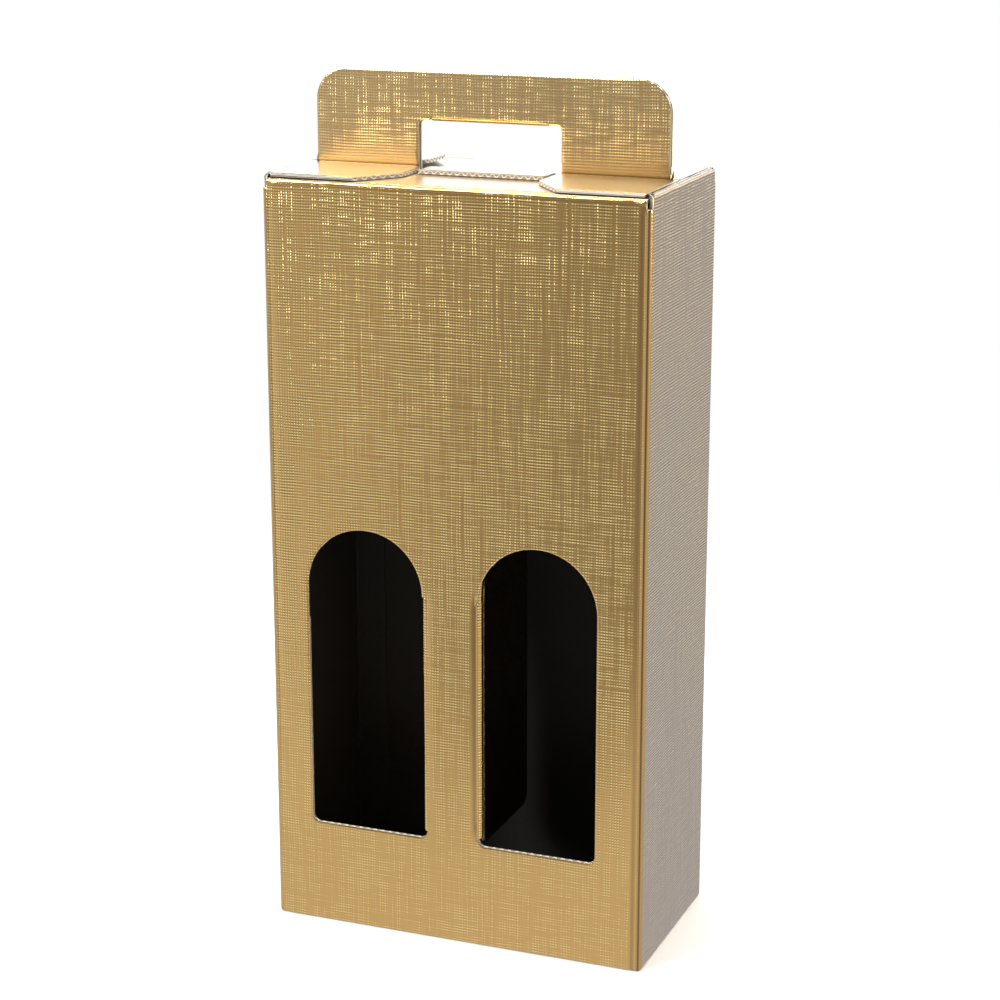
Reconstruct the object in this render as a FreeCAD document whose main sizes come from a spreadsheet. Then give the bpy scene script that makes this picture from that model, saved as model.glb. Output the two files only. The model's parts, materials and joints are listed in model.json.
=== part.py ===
import FreeCAD, Part
import math
import os
import Sketcher

# A carrier carton for two bottles, folded and glued from one sheet of micro-flute board.
# Front, back and side walls stand on a glued bottom. The front and back top flaps fold in to
# the middle and turn up there as the two layers of the handle. Four end flaps, hinged on the
# side walls, lie on top and hold the handle's two legs between them. Each window's cut-out
# stays hinged on its inner edge and is folded inwards as a divider between the bottles.
# Millimetres. The origin is the middle of the footprint, +Z is up and the windows face -Y.

doc = FreeCAD.newDocument("BottleCarton")

# Driving dimensions

SIZES = [
    ("box_width", 175.5, "outside width of the walls"),
    ("box_depth", 90.0, "outside depth of the walls"),
    ("box_height", 340.0, "floor to the top of the front and back top flaps"),
    ("board", 1.9, "thickness of the fluted board"),
    ("fold_inside", 0.5, "inside radius of the upright folds"),
    ("foot_radius", 1.2, "outside radius of the folds at the floor"),
    ("crease_play", 0.5, "gap between a top flap's side edge and the side wall"),
    ("layer_gap", 0.2, "half of the gap between the handle's two layers"),
    ("handle_width", 162.6, "width of the handle"),
    ("handle_rise", 43.0, "height of the handle over the top flaps"),
    ("handle_corner", 14.0, "radius of the handle's two top corners"),
    ("hole_width", 66.0, "width of the hand hole"),
    ("hole_rise", 21.7, "height of the fold over the hand hole, from the top flaps"),
    ("hole_step", 0.5, "how far the hole's corners reach above that fold"),
    ("hole_corner", 2.5, "radius of the hand hole's top corners"),
    ("tongue_width", 58.0, "width of the back flap's tongue under the hand hole"),
    ("tongue_reach", 12.0, "how far the tongue lies over the front flap"),
    ("tongue_ramp", 5.0, "length over which the tongue climbs on to the front flap"),
    ("lie_gap", 0.1, "gap under a flap that lies on another"),
    ("hinge_gap", 0.05, "gap around the crease of a moving flap"),
    ("cut_gap", 0.4, "gap between a flap and the cut edge beside it"),
    ("end_tongue_gap", 2.0, "gap between an end flap's free end and the tongue's side"),
    ("end_set_back", 0.45, "crease to the near edge of an end flap"),
    ("end_edge_gap", 1.0, "front wall's face to the end flap's side edge"),
    ("end_chamfer_long", 15.0, "end flap's corner cut, along the flap"),
    ("end_chamfer_wide", 20.0, "end flap's corner cut, across the flap"),
    ("end_corner", 3.0, "radius of the end flap's free corners"),
    ("leg_gap", 0.35, "gap between an end flap and the handle's leg"),
    ("slit_gap", 0.3, "half of the slit between the two halves of an end flap"),
    ("left_rear_lift", 2.4, "degrees by which the rear left end flap stands open"),
    ("window_width", 54.7, "width of a window"),
    ("window_foot", 47.6, "height of a window's lower edge"),
    ("window_spring", 160.3, "height at which a window's round head starts"),
    ("window_corner", 3.6, "radius of a window's lower corners"),
    ("window_inner_left", 14.7, "middle of the box to the left window's inner edge"),
    ("window_inner_right", 11.5, "middle of the box to the right window's inner edge"),
    ("crease_step_left", 1.7, "left window's inner edge to the crease of its cut-out"),
    ("crease_step_right", 0.2, "right window's inner edge to the crease of its cut-out"),
    ("divider_fold", 90.0, "degrees by which a window's cut-out is folded inwards"),
    ("grip_width", 54.0, "width of the grip flap"),
    ("grip_reach", 17.6, "height of the grip flap over its fold"),
    ("grip_gap", 0.2, "gap between the grip flap and the handle's rear layer"),
    ("grip_corner", 6.0, "radius of the grip flap's free corners"),
    ("seam", 0.6, "gap between the two bottom panels that lock"),
    ("lock_offset", 11.0, "how far each bottom panel locks past the middle"),
    ("lock_slant", 10.0, "half of the width over which the lock crosses the middle"),
    ("side_bottom_reach", 58.0, "width of the bottom flap glued inside at each side"),
    ("side_bottom_inset", 3.0, "front and back play of those two flaps"),
    ("glue_tab_width", 16.0, "width of the glued tab inside the rear left corner"),
    ("glue_tab_inset", 8.0, "distance of the tab's ends from the floor and the top"),
]

# Places worked out from the sizes, so that pieces which meet read the same number

PLACES = [
    ("half_width", "Sizes.box_width / 2"),
    ("half_depth", "Sizes.box_depth / 2"),
    ("plan_corner", "Sizes.fold_inside + Sizes.board"),
    ("plan_flat_x", "half_width - plan_corner"),
    ("plan_flat_y", "half_depth - plan_corner"),
    ("inside_x", "half_width - Sizes.board"),
    ("inside_y", "half_depth - Sizes.board"),
    ("inside_flat_x", "inside_x - Sizes.fold_inside"),
    ("inside_flat_y", "inside_y - Sizes.fold_inside"),
    ("under_top", "Sizes.box_height - Sizes.board"),
    ("wall_height", "under_top - Sizes.board"),
    ("side_crest", "Sizes.box_height + Sizes.board"),
    ("flap_span", "2 * (inside_x - Sizes.crease_play)"),
    ("crest_span", "2 * plan_flat_y"),
    ("layer_outer", "Sizes.layer_gap + Sizes.board"),
    ("leg_outer", "Sizes.handle_width / 2"),
    ("leg_inner", "Sizes.hole_width / 2"),
    ("handle_top", "Sizes.box_height + Sizes.handle_rise"),
    ("handle_side_end", "handle_top - Sizes.handle_corner"),
    ("handle_top_end", "leg_outer - Sizes.handle_corner"),
    ("hole_fold", "Sizes.box_height + Sizes.hole_rise"),
    ("hole_edge", "hole_fold + Sizes.hole_step"),
    ("hole_side_end", "hole_edge - Sizes.hole_corner"),
    ("hole_top_end", "leg_inner - Sizes.hole_corner"),
    ("grip_half", "Sizes.grip_width / 2"),
    ("grip_notch_half", "grip_half + Sizes.cut_gap"),
    ("grip_axis", "hole_fold + Sizes.board"),
    ("tongue_low", "Sizes.box_height + Sizes.lie_gap"),
    ("tongue_high", "tongue_low + Sizes.board"),
    ("tongue_clear", "Sizes.layer_gap + Sizes.lie_gap"),
    ("tongue_root", "layer_outer + Sizes.tongue_ramp"),
    ("knuckle", "Sizes.board + Sizes.hinge_gap"),
    ("end_side", "half_depth - Sizes.end_edge_gap"),
    ("end_side_cut", "end_side - Sizes.end_chamfer_wide"),
    ("end_reach", "inside_x - Sizes.tongue_width / 2 - Sizes.end_tongue_gap"),
    ("end_reach_cut", "end_reach - Sizes.end_chamfer_long"),
    ("leg_clear_y", "layer_outer + Sizes.leg_gap"),
    ("leg_clear_x", "inside_x - leg_outer - Sizes.leg_gap"),
    ("window_foot_round", "Sizes.window_foot + Sizes.window_corner"),
    ("window_crease_height", "Sizes.window_spring - window_foot_round"),
    ("window_crease_left", "Sizes.window_inner_left - Sizes.crease_step_left"),
    ("window_crease_right", "Sizes.window_inner_right - Sizes.crease_step_right"),
    ("window_bead_left", "window_crease_left + Sizes.board"),
    ("window_bead_right", "window_crease_right + Sizes.board"),
    ("window_outer_left", "Sizes.window_inner_left + Sizes.window_width"),
    ("window_outer_right", "Sizes.window_inner_right + Sizes.window_width"),
    ("window_middle_left", "Sizes.window_inner_left + Sizes.window_width / 2"),
    ("window_middle_right", "Sizes.window_inner_right + Sizes.window_width / 2"),
    ("window_near_round_left", "window_crease_left + Sizes.window_corner"),
    ("window_near_round_right", "window_crease_right + Sizes.window_corner"),
    ("window_far_round_left", "window_outer_left - Sizes.window_corner"),
    ("window_far_round_right", "window_outer_right - Sizes.window_corner"),
    ("cutter_start", "half_depth + Sizes.board"),
    ("cutter_length", "3 * Sizes.board"),
    ("divider_foot", "Sizes.window_foot + Sizes.cut_gap"),
    ("divider_head", "Sizes.window_spring - Sizes.cut_gap"),
    ("divider_arch_left", "Sizes.crease_step_left + Sizes.cut_gap"),
    ("divider_arch_right", "Sizes.crease_step_right + Sizes.cut_gap"),
    ("divider_middle_left", "Sizes.crease_step_left + Sizes.window_width / 2"),
    ("divider_middle_right", "Sizes.crease_step_right + Sizes.window_width / 2"),
    ("divider_far_left", "Sizes.crease_step_left + Sizes.window_width - Sizes.cut_gap"),
    ("divider_far_right", "Sizes.crease_step_right + Sizes.window_width - Sizes.cut_gap"),
    ("divider_far_round_left", "divider_far_left + Sizes.cut_gap - Sizes.window_corner"),
    ("divider_far_round_right", "divider_far_right + Sizes.cut_gap - Sizes.window_corner"),
    ("grip_bridge_low", "Sizes.lie_gap + Sizes.board"),
    ("grip_near", "layer_outer + Sizes.layer_gap + Sizes.grip_gap"),
    ("grip_back", "grip_near + Sizes.board"),
    ("seam_near", "Sizes.lock_offset - Sizes.seam / 2"),
    ("seam_far", "Sizes.lock_offset + Sizes.seam / 2"),
    ("side_bottom_x", "inside_x - Sizes.side_bottom_reach"),
    ("side_bottom_y", "inside_y - Sizes.side_bottom_inset"),
    ("glue_tab_x", "inside_x - Sizes.glue_tab_width"),
    ("glue_tab_y", "inside_y - Sizes.board"),
    ("glue_tab_height", "under_top - 2 * Sizes.glue_tab_inset"),
]

sizes = doc.addObject("Spreadsheet::Sheet", "Sizes")
for row, (alias, value, note) in enumerate(SIZES, start=1):
    sizes.set(f"A{row}", note)
    sizes.set(f"B{row}", str(value))
    sizes.setAlias(f"B{row}", alias)

places = doc.addObject("Spreadsheet::Sheet", "Places")
for row, (alias, formula) in enumerate(PLACES, start=1):
    places.set(f"A{row}", alias)
    places.set(f"B{row}", "=" + formula)
    places.setAlias(f"B{row}", alias)
doc.recompute()

DRIVING = {alias for alias, value, note in SIZES}


# Reading a named value, with a leading minus where it lies on the negative side

def link(name):
    sign = "-" if name.startswith("-") else ""
    plain = name.lstrip("-")
    owner = "Sizes" if plain in DRIVING else "Places"
    return f"{sign}{owner}.{plain}"


def number(name):
    plain = name.lstrip("-")
    owner = sizes if plain in DRIVING else places
    value = float(owner.get(plain))
    return -value if name.startswith("-") else value


def signed(side, name):
    return name if side > 0 else "-" + name


# Sketches: each outline is a list of named corners, and a corner may start an arc

def newBody(name):
    body = doc.addObject("PartDesign::Body", name)
    body.Label = name
    return body


def newSketch(body, name, role, lift=None):
    plane = next(item for item in body.Origin.OriginFeatures if item.Role == role)
    sketch = body.newObject("Sketcher::SketchObject", name)
    sketch.AttachmentSupport = [(plane, "")]
    sketch.MapMode = "FlatFace"
    if lift:
        sketch.setExpression("AttachmentOffset.Base.z", link(lift))
    return sketch


def fix(sketch, kind, edge, point, name):
    index = sketch.addConstraint(Sketcher.Constraint(kind, -1, 1, edge, point, number(name)))
    sketch.setExpression(f"Constraints[{index}]", link(name))


def addOutline(sketch, corners):
    spots = [FreeCAD.Vector(number(corner[0]), number(corner[1]), 0) for corner in corners]
    edges = []
    for index, corner in enumerate(corners):
        start = spots[index]
        end = spots[(index + 1) % len(corners)]
        if len(corner) == 2:
            edges.append((sketch.addGeometry(Part.LineSegment(start, end)), 1, 2))
            continue
        centre = FreeCAD.Vector(number(corner[2]), number(corner[3]), 0)
        turn = corner[4]
        first, last = (start, end) if turn == "left" else (end, start)
        angles = [math.atan2(spot.y - centre.y, spot.x - centre.x) for spot in (first, last)]
        if angles[1] <= angles[0]:
            angles[1] += 2 * math.pi
        circle = Part.Circle(centre, FreeCAD.Vector(0, 0, 1), (start - centre).Length)
        edge = sketch.addGeometry(Part.ArcOfCircle(circle, angles[0], angles[1]))
        edges.append((edge, 1, 2) if turn == "left" else (edge, 2, 1))
        if abs(end.x - start.x) < abs(end.y - start.y):
            fix(sketch, "DistanceX", edge, 3, corner[2])
        else:
            fix(sketch, "DistanceY", edge, 3, corner[3])
    for index, corner in enumerate(corners):
        edge, start, end = edges[index]
        follower, followerStart, followerEnd = edges[(index + 1) % len(edges)]
        joint = Sketcher.Constraint("Coincident", edge, end, follower, followerStart)
        sketch.addConstraint(joint)
        fix(sketch, "DistanceX", edge, start, corner[0])
        fix(sketch, "DistanceY", edge, start, corner[1])


def addRectangle(sketch, left, right, low, high):
    addOutline(sketch, [(left, low), (right, low), (right, high), (left, high)])


def addCircle(sketch, radius):
    origin = FreeCAD.Vector(0, 0, 0)
    circle = Part.Circle(origin, FreeCAD.Vector(0, 0, 1), number(radius))
    edge = sketch.addGeometry(circle)
    sketch.addConstraint(Sketcher.Constraint("Coincident", edge, 3, -1, 1))
    index = sketch.addConstraint(Sketcher.Constraint("Radius", edge, number(radius)))
    sketch.setExpression(f"Constraints[{index}]", link(radius))


# Features on a sketch

def padSketch(body, name, sketch, length, side="One side", backwards=False):
    pad = body.newObject("PartDesign::Pad", name)
    pad.Profile = sketch
    pad.SideType = side
    pad.Reversed = backwards
    pad.setExpression("Length", link(length))
    doc.recompute()
    return pad


def cutSketch(body, name, sketch, length, side="One side", backwards=False):
    before = body.Shape.Volume
    pocket = body.newObject("PartDesign::Pocket", name)
    pocket.Profile = sketch
    pocket.SideType = side
    pocket.Reversed = backwards
    pocket.setExpression("Length", link(length))
    doc.recompute()
    if body.Shape.Volume >= before:
        raise RuntimeError(f"{name} cuts nothing")
    return pocket


def roundEdges(body, name, base, radius, wanted):
    names = [f"Edge{i}" for i, edge in enumerate(base.Shape.Edges, start=1) if wanted(edge)]
    fillet = body.newObject("PartDesign::Fillet", name)
    fillet.Base = (base, names)
    fillet.setExpression("Radius", link(radius))
    doc.recompute()
    return fillet


def isUpright(edge):
    box = edge.BoundBox
    return box.ZLength > number("board") / 2 and box.XLength + box.YLength < 0.001


def isAcross(edge):
    box = edge.BoundBox
    return box.YLength > number("board") / 2 and box.XLength + box.ZLength < 0.001


# The walls: a tube with rounded upright folds, and a bottom with a rounded foot

def roundedPlan(flatX, flatY, faceX, faceY):
    return [
        ("-" + flatX, "-" + faceY),
        (flatX, "-" + faceY, flatX, "-" + flatY, "left"),
        (faceX, "-" + flatY),
        (faceX, flatY, flatX, flatY, "left"),
        (flatX, faceY),
        ("-" + flatX, faceY, "-" + flatX, flatY, "left"),
        ("-" + faceX, flatY),
        ("-" + faceX, "-" + flatY, "-" + flatX, "-" + flatY, "left"),
    ]


def makeWalls(body):
    bottom = newSketch(body, "BottomPlan", "XY_Plane")
    addOutline(bottom, roundedPlan("plan_flat_x", "plan_flat_y", "half_width", "half_depth"))
    plate = padSketch(body, "BottomPanels", bottom, "board")
    roundEdges(body, "Foot", plate, "foot_radius", lambda edge: edge.BoundBox.ZMax < 0.001)
    ring = newSketch(body, "WallPlan", "XY_Plane", "board")
    addOutline(ring, roundedPlan("plan_flat_x", "plan_flat_y", "half_width", "half_depth"))
    addOutline(ring, roundedPlan("inside_flat_x", "inside_flat_y", "inside_x", "inside_y"))
    padSketch(body, "Walls", ring, "wall_height")


def makeBottom(body):
    seam = newSketch(body, "LockSeam", "XY_Plane")
    addOutline(seam, [
        ("-inside_x", "seam_near"),
        ("-lock_slant", "seam_near"),
        ("lock_slant", "-seam_far"),
        ("inside_x", "-seam_far"),
        ("inside_x", "-seam_near"),
        ("lock_slant", "-seam_near"),
        ("-lock_slant", "seam_far"),
        ("-inside_x", "seam_far"),
    ])
    cutSketch(body, "LockCut", seam, "board", backwards=True)
    inner = newSketch(body, "SideBottomPlan", "XY_Plane", "board")
    for side in (-1, 1):
        near = signed(side, "side_bottom_x")
        far = signed(side, "inside_x")
        addRectangle(inner, near, far, "-side_bottom_y", "side_bottom_y")
    padSketch(body, "SideBottomFlaps", inner, "board")
    tab = newSketch(body, "GlueTabPlan", "XY_Plane", "glue_tab_inset")
    addRectangle(tab, "-inside_x", "-glue_tab_x", "glue_tab_y", "inside_y")
    padSketch(body, "GlueTab", tab, "glue_tab_height")


# The top: a flap from the front wall to the middle, one handle layer, and the same at the back

def makeTopFlaps(body):
    flap = newSketch(body, "FrontFlapSection", "YZ_Plane")
    addOutline(flap, [
        ("-half_depth", "under_top"),
        ("-layer_gap", "under_top"),
        ("-layer_gap", "box_height"),
        ("-inside_y", "box_height", "-inside_y", "under_top", "left"),
    ])
    frontFlap = padSketch(body, "FrontFlap", flap, "flap_span", "Symmetric")
    layer = newSketch(body, "FrontHandleOutline", "XZ_Plane", "layer_gap")
    addOutline(layer, [
        ("-leg_outer", "under_top"),
        ("leg_outer", "under_top"),
        ("leg_outer", "handle_side_end", "handle_top_end", "handle_side_end", "left"),
        ("handle_top_end", "handle_top"),
        ("-handle_top_end", "handle_top", "-handle_top_end", "handle_side_end", "left"),
        ("-leg_outer", "handle_side_end"),
    ])
    addOutline(layer, [
        ("-leg_inner", "box_height"),
        ("leg_inner", "box_height"),
        ("leg_inner", "hole_side_end", "hole_top_end", "hole_side_end", "left"),
        ("hole_top_end", "hole_edge"),
        ("grip_notch_half", "hole_edge"),
        ("grip_notch_half", "grip_axis"),
        ("-grip_notch_half", "grip_axis"),
        ("-grip_notch_half", "hole_edge"),
        ("-hole_top_end", "hole_edge", "-hole_top_end", "hole_side_end", "left"),
        ("-leg_inner", "hole_side_end"),
    ])
    frontLayer = padSketch(body, "FrontHandleLayer", layer, "board")
    mirror = body.newObject("PartDesign::Mirrored", "BackFlapAndLayer")
    mirror.Originals = [frontFlap, frontLayer]
    plane = next(item for item in body.Origin.OriginFeatures if item.Role == "XZ_Plane")
    mirror.MirrorPlane = (plane, [""])
    body.Tip = mirror
    doc.recompute()


# Creases that a moving flap turns about, and the back flap's tongue over the front flap

def makeCreases(body):
    sides = newSketch(body, "SideCreaseSection", "XZ_Plane")
    for side, turn in ((1, "left"), (-1, "right")):
        outer = signed(side, "half_width")
        inner = signed(side, "inside_x")
        addOutline(sides, [
            (inner, "under_top"),
            (outer, "under_top"),
            (outer, "box_height", inner, "box_height", turn),
            (inner, "side_crest"),
        ])
    padSketch(body, "SideCreases", sides, "crest_span", "Symmetric")
    windows = newSketch(body, "WindowCreasePlan", "XY_Plane", "window_foot_round")
    for crease, turn, side in (("left", "left", -1), ("right", "right", 1)):
        axis = signed(side, "window_crease_" + crease)
        addOutline(windows, [
            (axis, "-inside_y"),
            (signed(side, "window_bead_" + crease), "-inside_y", axis, "-inside_y", turn),
            (axis, "-half_depth"),
        ])
    padSketch(body, "WindowCreases", windows, "window_crease_height")
    grip = newSketch(body, "GripCreaseSection", "YZ_Plane")
    addOutline(grip, [
        ("-layer_gap", "grip_axis"),
        ("-layer_outer", "grip_axis", "-layer_gap", "grip_axis", "left"),
        ("-layer_gap", "hole_fold"),
    ])
    padSketch(body, "GripCrease", grip, "grip_width", "Symmetric")
    tongue = newSketch(body, "TongueSection", "YZ_Plane")
    addOutline(tongue, [
        ("tongue_root", "under_top"),
        ("tongue_root", "box_height"),
        ("tongue_clear", "tongue_high"),
        ("-tongue_reach", "tongue_high"),
        ("-tongue_reach", "tongue_low"),
        ("tongue_clear", "tongue_low"),
    ])
    padSketch(body, "Tongue", tongue, "tongue_width", "Symmetric")


def makeWindows(body):
    sketch = newSketch(body, "WindowOutlines", "XZ_Plane", "cutter_start")
    for name, side in (("left", -1), ("right", 1)):
        crease = signed(side, "window_crease_" + name)
        inner = signed(side, "window_inner_" + name)
        outer = signed(side, "window_outer_" + name)
        middle = signed(side, "window_middle_" + name)
        nearRound = signed(side, "window_near_round_" + name)
        farRound = signed(side, "window_far_round_" + name)
        over = "left" if side < 0 else "right"
        addOutline(sketch, [
            (crease, "window_foot_round"),
            (crease, "window_spring"),
            (inner, "window_spring", middle, "window_spring", over),
            (outer, "window_spring"),
            (outer, "window_foot_round", farRound, "window_foot_round", over),
            (farRound, "window_foot"),
            (nearRound, "window_foot", nearRound, "window_foot_round", over),
        ])
    cutSketch(body, "Windows", sketch, "cutter_length")


def makeCarton():
    body = newBody("carton")
    makeWalls(body)
    makeWindows(body)
    makeBottom(body)
    makeTopFlaps(body)
    makeCreases(body)
    return body


# The moving flaps, each drawn about its own crease and then put in place

def cutKnuckle(body, role, length):
    sketch = newSketch(body, "Knuckle", role)
    addCircle(sketch, "knuckle")
    cutSketch(body, "KnuckleCut", sketch, length, "Symmetric")


def makeEndFlap(name, side, half):
    body = newBody(name)

    def corner(along, across):
        return signed(-side, along), signed(half, across)

    outline = newSketch(body, "Outline", "XY_Plane", "lie_gap")
    addOutline(outline, [
        corner("end_set_back", "slit_gap"),
        corner("end_reach", "slit_gap"),
        corner("end_reach", "end_side_cut"),
        corner("end_reach_cut", "end_side"),
        corner("end_set_back", "end_side"),
    ])
    padSketch(body, "Board", outline, "board")
    notch = newSketch(body, "LegNotchPlan", "XY_Plane", "lie_gap")
    near = signed(-side, "leg_clear_x")
    far = signed(-side, "half_width")
    addRectangle(notch, near, far, "-leg_clear_y", "leg_clear_y")
    notched = cutSketch(body, "LegNotch", notch, "board", backwards=True)

    def isFreeCorner(edge):
        along = abs(edge.BoundBox.Center.x) - number("end_reach_cut")
        return isUpright(edge) and along > -0.001

    roundEdges(body, "FreeCorners", notched, "end_corner", isFreeCorner)
    cutKnuckle(body, "XZ_Plane", "box_depth")
    body.setExpression("Placement.Base.x", link(signed(side, "inside_x")))
    body.setExpression("Placement.Base.z", link("box_height"))
    return body


def makeDivider(name, side):
    body = newBody("window_flap_" + name)
    outline = newSketch(body, "Outline", "XZ_Plane")
    near = signed(side, "hinge_gap")
    arch = signed(side, "divider_arch_" + name)
    middle = signed(side, "divider_middle_" + name)
    far = signed(side, "divider_far_" + name)
    nearRound = signed(side, "window_corner")
    farRound = signed(side, "divider_far_round_" + name)
    over = "left" if side < 0 else "right"
    addOutline(outline, [
        (near, "window_foot_round"),
        (near, "divider_head"),
        (arch, "divider_head"),
        (arch, "window_spring", middle, "window_spring", over),
        (far, "window_spring"),
        (far, "window_foot_round"),
        (farRound, "divider_foot"),
        (nearRound, "divider_foot"),
    ])
    padSketch(body, "Board", outline, "board")
    cutKnuckle(body, "XY_Plane", "box_height")
    turned = FreeCAD.Rotation(FreeCAD.Vector(0, 0, side), number("divider_fold"))
    body.Placement = FreeCAD.Placement(FreeCAD.Vector(0, 0, 0), turned)
    body.setExpression("Placement.Rotation.Angle", "Sizes.divider_fold * 1 deg")
    body.setExpression("Placement.Base.x", link(signed(side, "window_crease_" + name)))
    body.setExpression("Placement.Base.y", link("-inside_y"))
    return body


def makeGrip():
    body = newBody("grip_flap")
    section = newSketch(body, "Section", "YZ_Plane")
    addOutline(section, [
        ("hinge_gap", "-grip_bridge_low"),
        ("grip_near", "-grip_bridge_low", "grip_near", "-lie_gap", "left"),
        ("grip_back", "-lie_gap"),
        ("grip_back", "grip_reach"),
        ("grip_near", "grip_reach"),
        ("grip_near", "-lie_gap"),
        ("hinge_gap", "-lie_gap"),
    ])
    pad = padSketch(body, "Board", section, "grip_width", "Symmetric")

    def isFreeCorner(edge):
        return isAcross(edge) and edge.BoundBox.ZMin > number("grip_reach") - 0.001

    roundEdges(body, "FreeCorners", pad, "grip_corner", isFreeCorner)
    cutKnuckle(body, "YZ_Plane", "box_width")
    body.setExpression("Placement.Base.y", link("-layer_gap"))
    body.setExpression("Placement.Base.z", link("grip_axis"))
    return body


subParts = [makeCarton(), makeGrip()]
for flapSide, sideName in ((-1, "left"), (1, "right")):
    subParts.append(makeDivider(sideName, flapSide))
    for flapHalf, halfName in ((-1, "front"), (1, "rear")):
        label = f"end_flap_{sideName}_{halfName}"
        subParts.append(makeEndFlap(label, flapSide, flapHalf))

# The rear left end flap has sprung open a little

raised = next(part for part in subParts if part.Label == "end_flap_left_rear")
lift = FreeCAD.Rotation(FreeCAD.Vector(0, -1, 0), number("left_rear_lift"))
raised.Placement = FreeCAD.Placement(raised.Placement.Base, lift)
raised.setExpression("Placement.Rotation.Angle", "Sizes.left_rear_lift * 1 deg")
doc.recompute()

# Checks, then one file for each piece

for item in doc.Objects:
    if "Invalid" in item.State or "Error" in item.State:
        raise RuntimeError(f"{item.Name} failed: {item.State}")

os.makedirs("parts", exist_ok=True)
for part in subParts:
    shape = part.Shape
    if shape.isNull() or not shape.isValid() or len(shape.Solids) != 1:
        raise RuntimeError(f"{part.Label} is not one sound solid")
    shape.exportStep(f"parts/{part.Label}.step")
    box = shape.BoundBox
    print(f"{part.Label:22s} {shape.Volume:10.1f} mm3  "
          f"x {box.XMin:7.2f} {box.XMax:7.2f}  y {box.YMin:7.2f} {box.YMax:7.2f}  "
          f"z {box.ZMin:7.2f} {box.ZMax:7.2f}")
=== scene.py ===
import json
import math

import bmesh
import bpy
import numpy as np
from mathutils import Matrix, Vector
from mathutils.geometry import delaunay_2d_cdt


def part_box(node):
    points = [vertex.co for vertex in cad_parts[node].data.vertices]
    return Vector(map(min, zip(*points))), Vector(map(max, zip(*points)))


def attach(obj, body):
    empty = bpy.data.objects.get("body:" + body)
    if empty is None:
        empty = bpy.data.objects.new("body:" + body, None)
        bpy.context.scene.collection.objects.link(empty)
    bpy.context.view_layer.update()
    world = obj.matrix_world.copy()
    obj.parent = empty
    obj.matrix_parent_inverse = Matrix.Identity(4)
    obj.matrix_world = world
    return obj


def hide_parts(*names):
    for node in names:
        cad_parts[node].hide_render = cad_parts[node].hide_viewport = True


# A gift carton for two bottles, folded from one sheet of micro-flute board. The board is faced
# with gold foil that was pressed with a linen pattern. Metres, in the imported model's frame.

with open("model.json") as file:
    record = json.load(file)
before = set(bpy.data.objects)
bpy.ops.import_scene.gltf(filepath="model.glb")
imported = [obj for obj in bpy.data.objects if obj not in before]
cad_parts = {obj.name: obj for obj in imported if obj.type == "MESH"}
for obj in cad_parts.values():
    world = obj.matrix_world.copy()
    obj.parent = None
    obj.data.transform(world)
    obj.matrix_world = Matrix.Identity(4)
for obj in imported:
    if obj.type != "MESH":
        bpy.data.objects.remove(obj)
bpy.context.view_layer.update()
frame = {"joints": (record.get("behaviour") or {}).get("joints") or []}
mm = 0.001

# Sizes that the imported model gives

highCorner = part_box("carton")[1]
hinges = {joint["name"]: Vector(joint["pos_m"]) for joint in frame["joints"]}
halfWidth = highCorner.x
halfDepth = highCorner.y
handleTop = highCorner.z
insideX = hinges["open_end_right_front"].x
insideY = -hinges["fold_window_flap_left"].y
boxTop = hinges["open_end_right_front"].z
gripFold = hinges["fold_grip_flap"].z
board = halfWidth - insideX
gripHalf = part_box("grip_flap")[1].x

# The board, and how its cut edges are drawn

sheetLook = {
    "thickness": board - 0.05 * mm,
    "linerThickness": 0.28 * mm,
    "flutePitch": 3.6 * mm,
    "waveStep": 0.45 * mm,      # spacing of points along a cut that crosses the flutes
    "plainStep": 4.0 * mm,      # and along one that runs with them
    "leastStep": 0.06 * mm,
    "bendStep": 1.0 * mm,       # grid lines closer than this are held as edges of the mesh
    "gridClear": 1.35 * mm,     # grid points keep this far from a cut edge
    "joinClear": 0.12 * mm,     # and this far from an edge where two sheets meet
    "edgeDrop": 0.22 * mm,      # the die presses the foil down beside a cut
    "edgeDropWidth": 0.7 * mm,
    "backDrop": 0.4,            # the part of that drop that the liner follows
    "edgeRings": [0.3 * mm, 0.7 * mm, 1.15 * mm],
    "edgeRows": [0.3, 0.43, 0.57, 0.7],     # parts of the thickness, down a cut edge
    "fluteRecess": 0.3 * mm,
    "leastRecess": 0.08 * mm,
    "fluteReach": 0.45 * mm,    # from a flute's line to where the channel is fully open
    "sharpAngle": 50,           # between two faces of a cut edge
}

cornerRadius = 2.4 * mm         # upright folds, outside
footRadius = 1.2 * mm
quarter = math.pi / 2
pointsAtOnce = 500              # in the tests of many points against many edges

# Places in a piece's list of materials
foilFace, linerFace, cutFace, upFacingSheenFace, crushedShadedFace, crestAndHandleSheenFace = range(6)


# Even steps, and points of an arc between two angles in degrees

def steps(start, end, step):
    count = max(1, round(abs(end - start) / step))
    return [start + (end - start) * index / count for index in range(count + 1)]


def arc(centre, radius, first, last, count=10):
    turns = [math.radians(first + (last - first) * index / count) for index in range(count + 1)]
    return [(centre[0] + radius * math.cos(a), centre[1] + radius * math.sin(a)) for a in turns]


# A folded path: straight moves and turns, followed to a length along it and a depth below it.
# Its outer face is on the left of the heading.

def follow(path, along, depth):
    a, b = path["start"]
    heading = math.radians(path["heading"])
    left = along
    last = len(path["moves"]) - 1
    for index, (length, turn) in enumerate(path["moves"]):
        step = left if index == last or left < length else length
        if turn:
            radius = length / math.radians(turn)
            angle = step / radius
            a += radius * (math.sin(heading + angle) - math.sin(heading))
            b -= radius * (math.cos(heading + angle) - math.cos(heading))
            heading += angle
        else:
            a += step * math.cos(heading)
            b += step * math.sin(heading)
        left -= step
        if left <= 0:
            break
    return a + math.sin(heading) * depth, b - math.cos(heading) * depth


def marksOf(path):
    marks = [0.0]
    for length, turn in path["moves"]:
        marks.append(marks[-1] + length)
    return marks


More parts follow.
